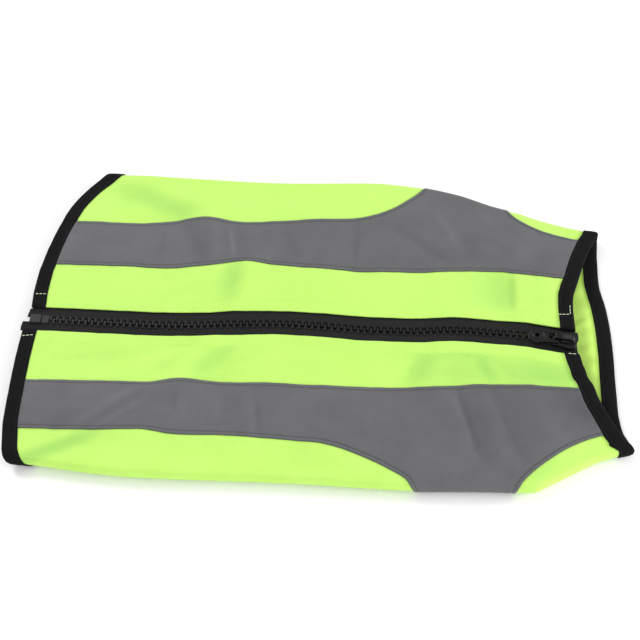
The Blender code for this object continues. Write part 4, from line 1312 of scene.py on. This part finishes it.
def washer(cx, cy, inner, outer, low, high, count=40, squeeze=1.0):
    verts, faces = [], []
    for k in range(count):
        a = 2 * math.pi * k / count
        for r, z in ((inner, low), (outer, low), (outer, high), (inner, high)):
            verts.append((cx + r * math.cos(a) * squeeze, cy + r * math.sin(a), z))
    for k in range(count):
        a, b = 4 * k, 4 * ((k + 1) % count)
        faces += [(a + i, a + (i + 1) % 4, b + (i + 1) % 4, b + i) for i in range(4)]
    return verts, faces


SLIDER_OUTLINE = ((-6.3, 4.15), (-4.0, 4.2), (-2.0, 4.25), (1.5, 5.0), (3.0, 5.25), (4.2, 5.3), (5.6, 4.7), (6.3, 3.6))
PLATE0, PLATE1 = 1.7, 2.7


def slider_parts():
    near = [(x, -w) for x, w in SLIDER_OUTLINE]
    outline = near + [(x, w) for x, w in reversed(SLIDER_OUTLINE)]
    inset = [(x * 0.9, v * 0.82) for x, v in outline]
    parts = [prism(outline, PLATE0, PLATE1), prism(outline, -PLATE1, -PLATE0), prism(inset, PLATE1 - 0.2, PLATE1 + 0.22)]
    parts.append(prism(((0.6, 0.0), (1.8, -0.8), (4.0, -0.9), (5.6, 0.0), (4.0, 0.9), (1.8, 0.8)), -PLATE0 - 0.2, PLATE0 + 0.2))
    for side in (-1, 1):
        rim = [(x, side * w) for x, w in SLIDER_OUTLINE[:7]]
        rim += [(x, side * (w - 0.85)) for x, w in reversed(SLIDER_OUTLINE[:7])]
        parts.append(prism(rim, 0.9, PLATE0 + 0.2))
        parts.append(prism(rim, -PLATE0 - 0.2, -0.9))
    top = PLATE1
    parts.append(prism(((-5.6, top - 0.2), (-5.6, top + 2.1), (-4.75, top + 2.75), (-4.75, top - 0.2)), -1.5, 1.5, "xz"))
    parts.append(prism(((-5.3, top + 1.95), (-5.0, top + 2.8), (-1.6, top + 2.9), (-1.6, top + 1.95)), -1.5, 1.5, "xz"))
    parts.append(
        prism(
            ((-2.25, top - 0.2), (-2.25, top + 2.85), (3.2, top + 2.8), (4.2, top + 2.2), (5.0, top + 1.0), (5.2, top - 0.2)),
            -1.5,
            1.5,
            "xz",
        )
    )
    for k in range(5):  # ribs over the lock's cover
        x0 = -1.4 + k * 0.95
        parts.append(prism(((x0, top + 2.6), (x0 + 0.12, top + 3.02), (x0 + 0.42, top + 3.02), (x0 + 0.54, top + 2.6)), -1.35, 1.35, "xz"))
    return parts


def tab_parts():
    half, thick = 3.7, 0.62
    head, centre = 4.6, -10.9
    parts = [washer(centre, 0.0, 1.45, head, -thick * 0.8, thick * 0.62, 48)]
    parts.append(washer(centre, 0.0, head - 1.0, head + 0.1, -thick, thick, 48))
    parts.append(washer(centre, 0.0, 1.4, 2.1, -thick, thick * 0.95, 32))
    bridge = ((centre + 1.6, -2.5), (-4.9, -half + 0.5), (-4.9, half - 0.5), (centre + 1.6, 2.5))
    parts.append(prism(bridge, -thick * 0.8, thick * 0.62))
    for side in (-1, 1):
        arm = (
            (0.7, side * (half - 0.5)), (0.2, side * half), (-5.2, side * (half - 0.05)), (centre + 2.4, side * 4.05),
            (centre + 1.6, side * 3.1), (-6.0, side * 2.55), (-4.8, side * 1.98), (0.7, side * 1.98),
        )
        parts.append(prism(arm, -thick, thick))
    rod = [(0.6 * math.cos(a), 0.6 * math.sin(a)) for a in np.linspace(0, 2 * math.pi, 20, endpoint=False)]
    parts.append(prism(rod, -2.9, 2.9, "xz"))
    return parts


cast("vest_zip_slider", slider_parts(), SLIDER_X, TAPE_DROP, "vest", voxel=0.12, keep=0.5, node="zip_slider")
cast(
    "vest_zip_pull_tab",
    tab_parts(),
    SLIDER_X,
    TAPE_DROP,
    "pull_tab",
    tilt=5.0,
    voxel=0.11,
    keep=0.5,
    node="zip_pull_tab",
    lift=PLATE1 + 0.95,
    back=-3.6,
)


# ---- stitches -----------------------------------------------------------------------------------------
class Thread:
    """Stitches gathered into one piece: short bent capsules that dive into the cloth."""

    def __init__(self):
        self.verts, self.faces, self.cuts, self.count = [], [], [], 0

    def stitch(self, a, b, up, radius, lift):
        a, b, up = np.asarray(a, float), np.asarray(b, float), np.asarray(up, float)
        along = b - a
        size = float(np.linalg.norm(along))
        along = along / size
        side = np.cross(up, along)
        side /= np.linalg.norm(side)
        up = np.cross(along, side)
        n = 6
        start = self.count
        for t, r, h in ((0.0, 0.35, -0.5), (0.12, 0.85, 0.15), (0.35, 1.0, 0.85), (0.65, 1.0, 0.85), (0.88, 0.85, 0.15), (1.0, 0.35, -0.5)):
            centre = a + along * size * t + up * (radius * h + lift)
            for k in range(n):
                w = 2 * math.pi * (k + 0.5) / n
                self.verts.append(centre + (side * math.cos(w) + up * math.sin(w) * 0.8) * radius * r)
                self.cuts.append((size * t + 0.06 * k, 0.0, 0.0))
        for ring in range(5):
            p, q = start + ring * n, start + (ring + 1) * n
            self.faces += [(p + k, p + (k + 1) % n, q + (k + 1) % n, q + k) for k in range(n)]
        self.faces.append(tuple(reversed(range(start, start + n))))
        self.faces.append(tuple(range(start + 5 * n, start + 6 * n)))
        self.count += 6 * n

    def row(self, path, ups, length=2.1, space=0.55, radius=0.17, lift=0.0, seed=0.0, run_from=0.0, run_to=None):
        """Evenly spaced stitches along a path of points, each with its own slight difference."""
        path, ups = np.asarray(path, float), np.asarray(ups, float)
        run = length_of(path)
        place = run_from + 0.3
        end = (run[-1] if run_to is None else run_to) - length
        k = 0
        while place < end:
            one = length * (1 + 0.07 * math.sin(k * 1.7 + seed))
            ends = np.stack([np.interp([place, place + one], run, path[:, i]) for i in range(3)], -1)
            up = np.array([np.interp(place + one / 2, run, ups[:, i]) for i in range(3)])
            self.stitch(ends[0], ends[1], up, radius, lift)
            place += one + space * (1 + 0.12 * math.sin(k * 2.9 + seed))
            k += 1

    def make(self, name, material, slot):
        return add(name, np.array(self.verts), self.faces, material, cut=self.cuts)


def on_panel(xs, ss, off):
    xs, ss = np.asarray(xs, float), np.asarray(ss, float)
    return cloth(xs, ss, np.full(len(xs), off)), facing(xs, ss)


lime, pale, grey, black = Thread(), Thread(), Thread(), Thread()

for side, which in ((1.0, "far"), (-1.0, "near")):
    # Beside the zip: one row on the fold of the panel, one through the tape's outer edge.
    for c, seed in ((10.6, 0.4), (14.7, 1.9)):
        start, stop = float(hem_x(side * c, BINDING + 0.6)), float(neck_x(side * c, BINDING + 0.6))
        xs = np.linspace(start, stop, 320)
        path, ups = on_panel(xs, np.full_like(xs, side * c), CLOTH)
        lime.row(path, ups, 2.3, 0.6, 0.10, -0.05, seed + side)
    # Round the strips, 2 mm in from their edges.
    inner, outer_hem, outer_neck = strip_outline(side, which)
    for k, line in enumerate((inner + np.array([0.0, 2.0]), outer_hem, outer_neck)):
        if k:
            way = np.gradient(line, axis=0)
            way /= np.linalg.norm(way, axis=1, keepdims=True)
            line = line + np.stack([way[:, 1], -way[:, 0]], -1) * 2.0
        xs, cs = line[:, 0], line[:, 1]
        ok = (xs > hem_x(side * cs, BINDING + 0.8)) & (xs < neck_x(side * cs, BINDING + 0.8))
        ok &= cs < seam_place(xs, np.full_like(xs, side)) - 0.6
        ok &= cs >= STRIP_IN + 1.9
        path, ups = on_panel(xs[ok], side * cs[ok], STRIP_HIGH - 0.1)
        grey.row(path, ups, 1.9, 0.6, 0.14, -0.02, k + side)
    # Side seams underneath: a row of lime stitches each side of the join.
    xs = np.linspace(seam_end("hem", side, BINDING + 1)[0], seam_end("neck", side, BINDING + 1)[0], 260)
    ss = side * (seam_place(xs, np.full_like(xs, side)) - 2.2)
    path, ups = on_panel(xs, ss, CLOTH)
    lime.row(path, ups, 2.4, 0.7, 0.15, 0.0, 7.0 + side)
    near, far = belly_sides(xs)
    ys = far - 2.2 if side > 0 else near + 2.2
    share = np.full_like(xs, 0.97 if side > 0 else 0.03)
    path = belly(xs, ys, share) - np.array([0.0, 0.0, CLOTH])
    lime.row(path, np.tile((0.0, 0.0, -1.0), (len(xs), 1)), 2.4, 0.7, 0.15, 0.0, 9.0 + side)

# Bindings: one row near the inner edge, all the way round, above and below the cloth.
for end, edge_x in (("hem", hem_x), ("neck", neck_x)):
    for side in (1.0, -1.0):
        stop = abs(seam_end(end, side, BINDING)[1])
        c = np.linspace(TAPE_SHOW + 0.6, stop - 0.4, 420)
        for sign in (1.0, -1.0):
            xs = edge_x(side * c, 6.7)
            path = cloth(xs, side * c, np.full_like(xs, sign * 1.14))
            black.row(path, facing(xs, side * c) * sign, 2.2, 0.6, 0.15, 0.0, side + sign)
    share = np.linspace(0.008, 0.992, 300)
    xs = belly_edge_x(end, share, 6.7)
    near, far = belly_sides(xs)
    ys = near + (far - near) * share
    for sign in (1.0, -1.0):
        path = np.stack([xs, ys, np.full_like(xs, LOW + sign * 1.14)], -1)
        black.row(path, np.tile((0.0, 0.0, sign), (len(xs), 1)), 2.2, 0.6, 0.15, 0.0, 3.0 + sign)
for which in LEG_SHARE:
    angle = np.linspace(0, 2 * math.pi, 300)
    nx, ny = np.cos(angle) / LEG_A, np.sin(angle) / LEG_B
    size = np.hypot(nx, ny)
    xs = LEG_X + LEG_A * np.cos(angle) + 5.4 * nx / size
    ys = leg_middle(which) + LEG_B * np.sin(angle) + 5.4 * ny / size
    for sign in (1.0, -1.0):
        path = np.stack([xs, ys, np.full_like(xs, LOW + sign * 1.14)], -1)
        black.row(path, np.tile((0.0, 0.0, sign), (len(xs), 1)), 2.2, 0.6, 0.15, 0.0, 5.0 + sign)

# The bindings' ends are tacked down with pale thread, in the lines that show.
TACK_COLUMNS = ("end", "side", "c0", "inset0", "c1", "inset1")
TACKS = (
    ("hem", 1, 15.6, 1.2, 15.9, 7.4),
    ("hem", -1, 12.6, 0.6, 11.6, 8.4),
    ("neck", 1, 15.6, 8.6, 16.6, 2.0),
    ("neck", 1, 16.6, 2.0, 22.0, 1.8),
    ("neck", 1, 22.0, 1.8, 22.2, 0.3),
    ("neck", -1, 8.6, 6.4, 8.2, 1.6),
)
for end, side, c0, inset0, c1, inset1 in TACKS:
    c, inset = np.linspace(c0, c1, 24), np.linspace(inset0, inset1, 24)
    edge_x = hem_x if end == "hem" else neck_x
    xs = edge_x(side * c, inset)
    path = cloth(xs, side * c, np.full_like(xs, 1.34))
    pale.row(path, facing(xs, side * c), 1.7, 0.35, 0.20, 0.0, c0)

lime.make("vest_lime_stitches", LIME_THREAD, "lime_knit")
pale.make("vest_pale_tacks", PALE_THREAD, "lime_knit")
grey.make("vest_strip_stitches", GREY_THREAD, "reflective_grey")
black.make("vest_binding_stitches", BLACK_THREAD, "black_binding")


# ---- floor, light and camera ------------------------------------------------------------------------------
def floor():
    mesh = bpy.data.meshes.new("floor")
    size = 3.0
    mesh.from_pydata([(-size, -size, -0.0001), (size, -size, -0.0001), (size, size, -0.0001), (-size, size, -0.0001)], [], [(0, 1, 2, 3)])
    made = bpy.data.objects.new("floor", mesh)
    bpy.context.scene.collection.objects.link(made)
    p = Paint("pale_floor", 0.95, 0.1)
    p.colour((0.98, 0.98, 0.98))
    mesh.materials.append(p.made)


floor()

world = bpy.data.worlds.new("studio")
bpy.context.scene.world = world
world.use_nodes = True
world.node_tree.nodes["Background"].inputs["Color"].default_value = (1.0, 1.0, 1.0, 1.0)
world.node_tree.nodes["Background"].inputs["Strength"].default_value = 0.575


def softbox(name, place, target, size, power):
    light = bpy.data.lights.new(name, "AREA")
    light.shape, light.size, light.size_y = "RECTANGLE", size[0], size[1]
    light.energy = power
    made = bpy.data.objects.new(name, light)
    bpy.context.scene.collection.objects.link(made)
    place, target = np.array(place, float), np.array(target, float)
    back = (place - target) / np.linalg.norm(place - target)
    side = np.cross((0.0, 0.0, 1.0), back)
    side /= np.linalg.norm(side)
    up = np.cross(back, side)
    made.matrix_world = Matrix([(side[i], up[i], back[i], place[i]) for i in range(3)] + [(0, 0, 0, 1)])


softbox("key", (-1.05, 0.95, 1.05), (0.0, 0.0, 0.0), (0.7, 0.7), 17.6)
softbox("front", (0.15, -1.5, 0.75), (0.0, 0.0, 0.0), (1.6, 0.8), 12.4)
softbox("right", (1.3, 0.0, 0.42), (0.15, 0.0, 0.0), (0.8, 0.3), 16.0)

CAMERA_FOCAL_PX, CAMERA_DISTANCE = 1241.109, 675.900
CAMERA_ELEVATION, CAMERA_AZIMUTH, CAMERA_ROLL = 53.706, 6.338, -3.622
CAMERA_TARGET = (14.640, 9.190, 0.0)


def camera():
    e, a, r = (math.radians(v) for v in (CAMERA_ELEVATION, CAMERA_AZIMUTH, CAMERA_ROLL))
    right = np.array([math.cos(a), math.sin(a), 0.0])
    ahead = np.array([-math.sin(a) * math.cos(e), math.cos(a) * math.cos(e), -math.sin(e)])
    up = np.cross(right, ahead)
    right, up = math.cos(r) * right + math.sin(r) * up, -math.sin(r) * right + math.cos(r) * up
    place = (np.array(CAMERA_TARGET) - ORIGIN - ahead * CAMERA_DISTANCE) * MM
    data = bpy.data.cameras.new("camera")
    data.sensor_fit, data.sensor_width = "HORIZONTAL", 36.0
    data.lens = CAMERA_FOCAL_PX * 36.0 / 640.0
    data.clip_start, data.clip_end = 0.05, 20.0
    made = bpy.data.objects.new("camera", data)
    bpy.context.scene.collection.objects.link(made)
    made.matrix_world = Matrix([(right[i], up[i], -ahead[i], place[i]) for i in range(3)] + [(0, 0, 0, 1)])
    bpy.context.scene.camera = made


camera()
bpy.context.scene.view_settings.view_transform = "Standard"
bpy.context.scene.view_settings.look = "None"
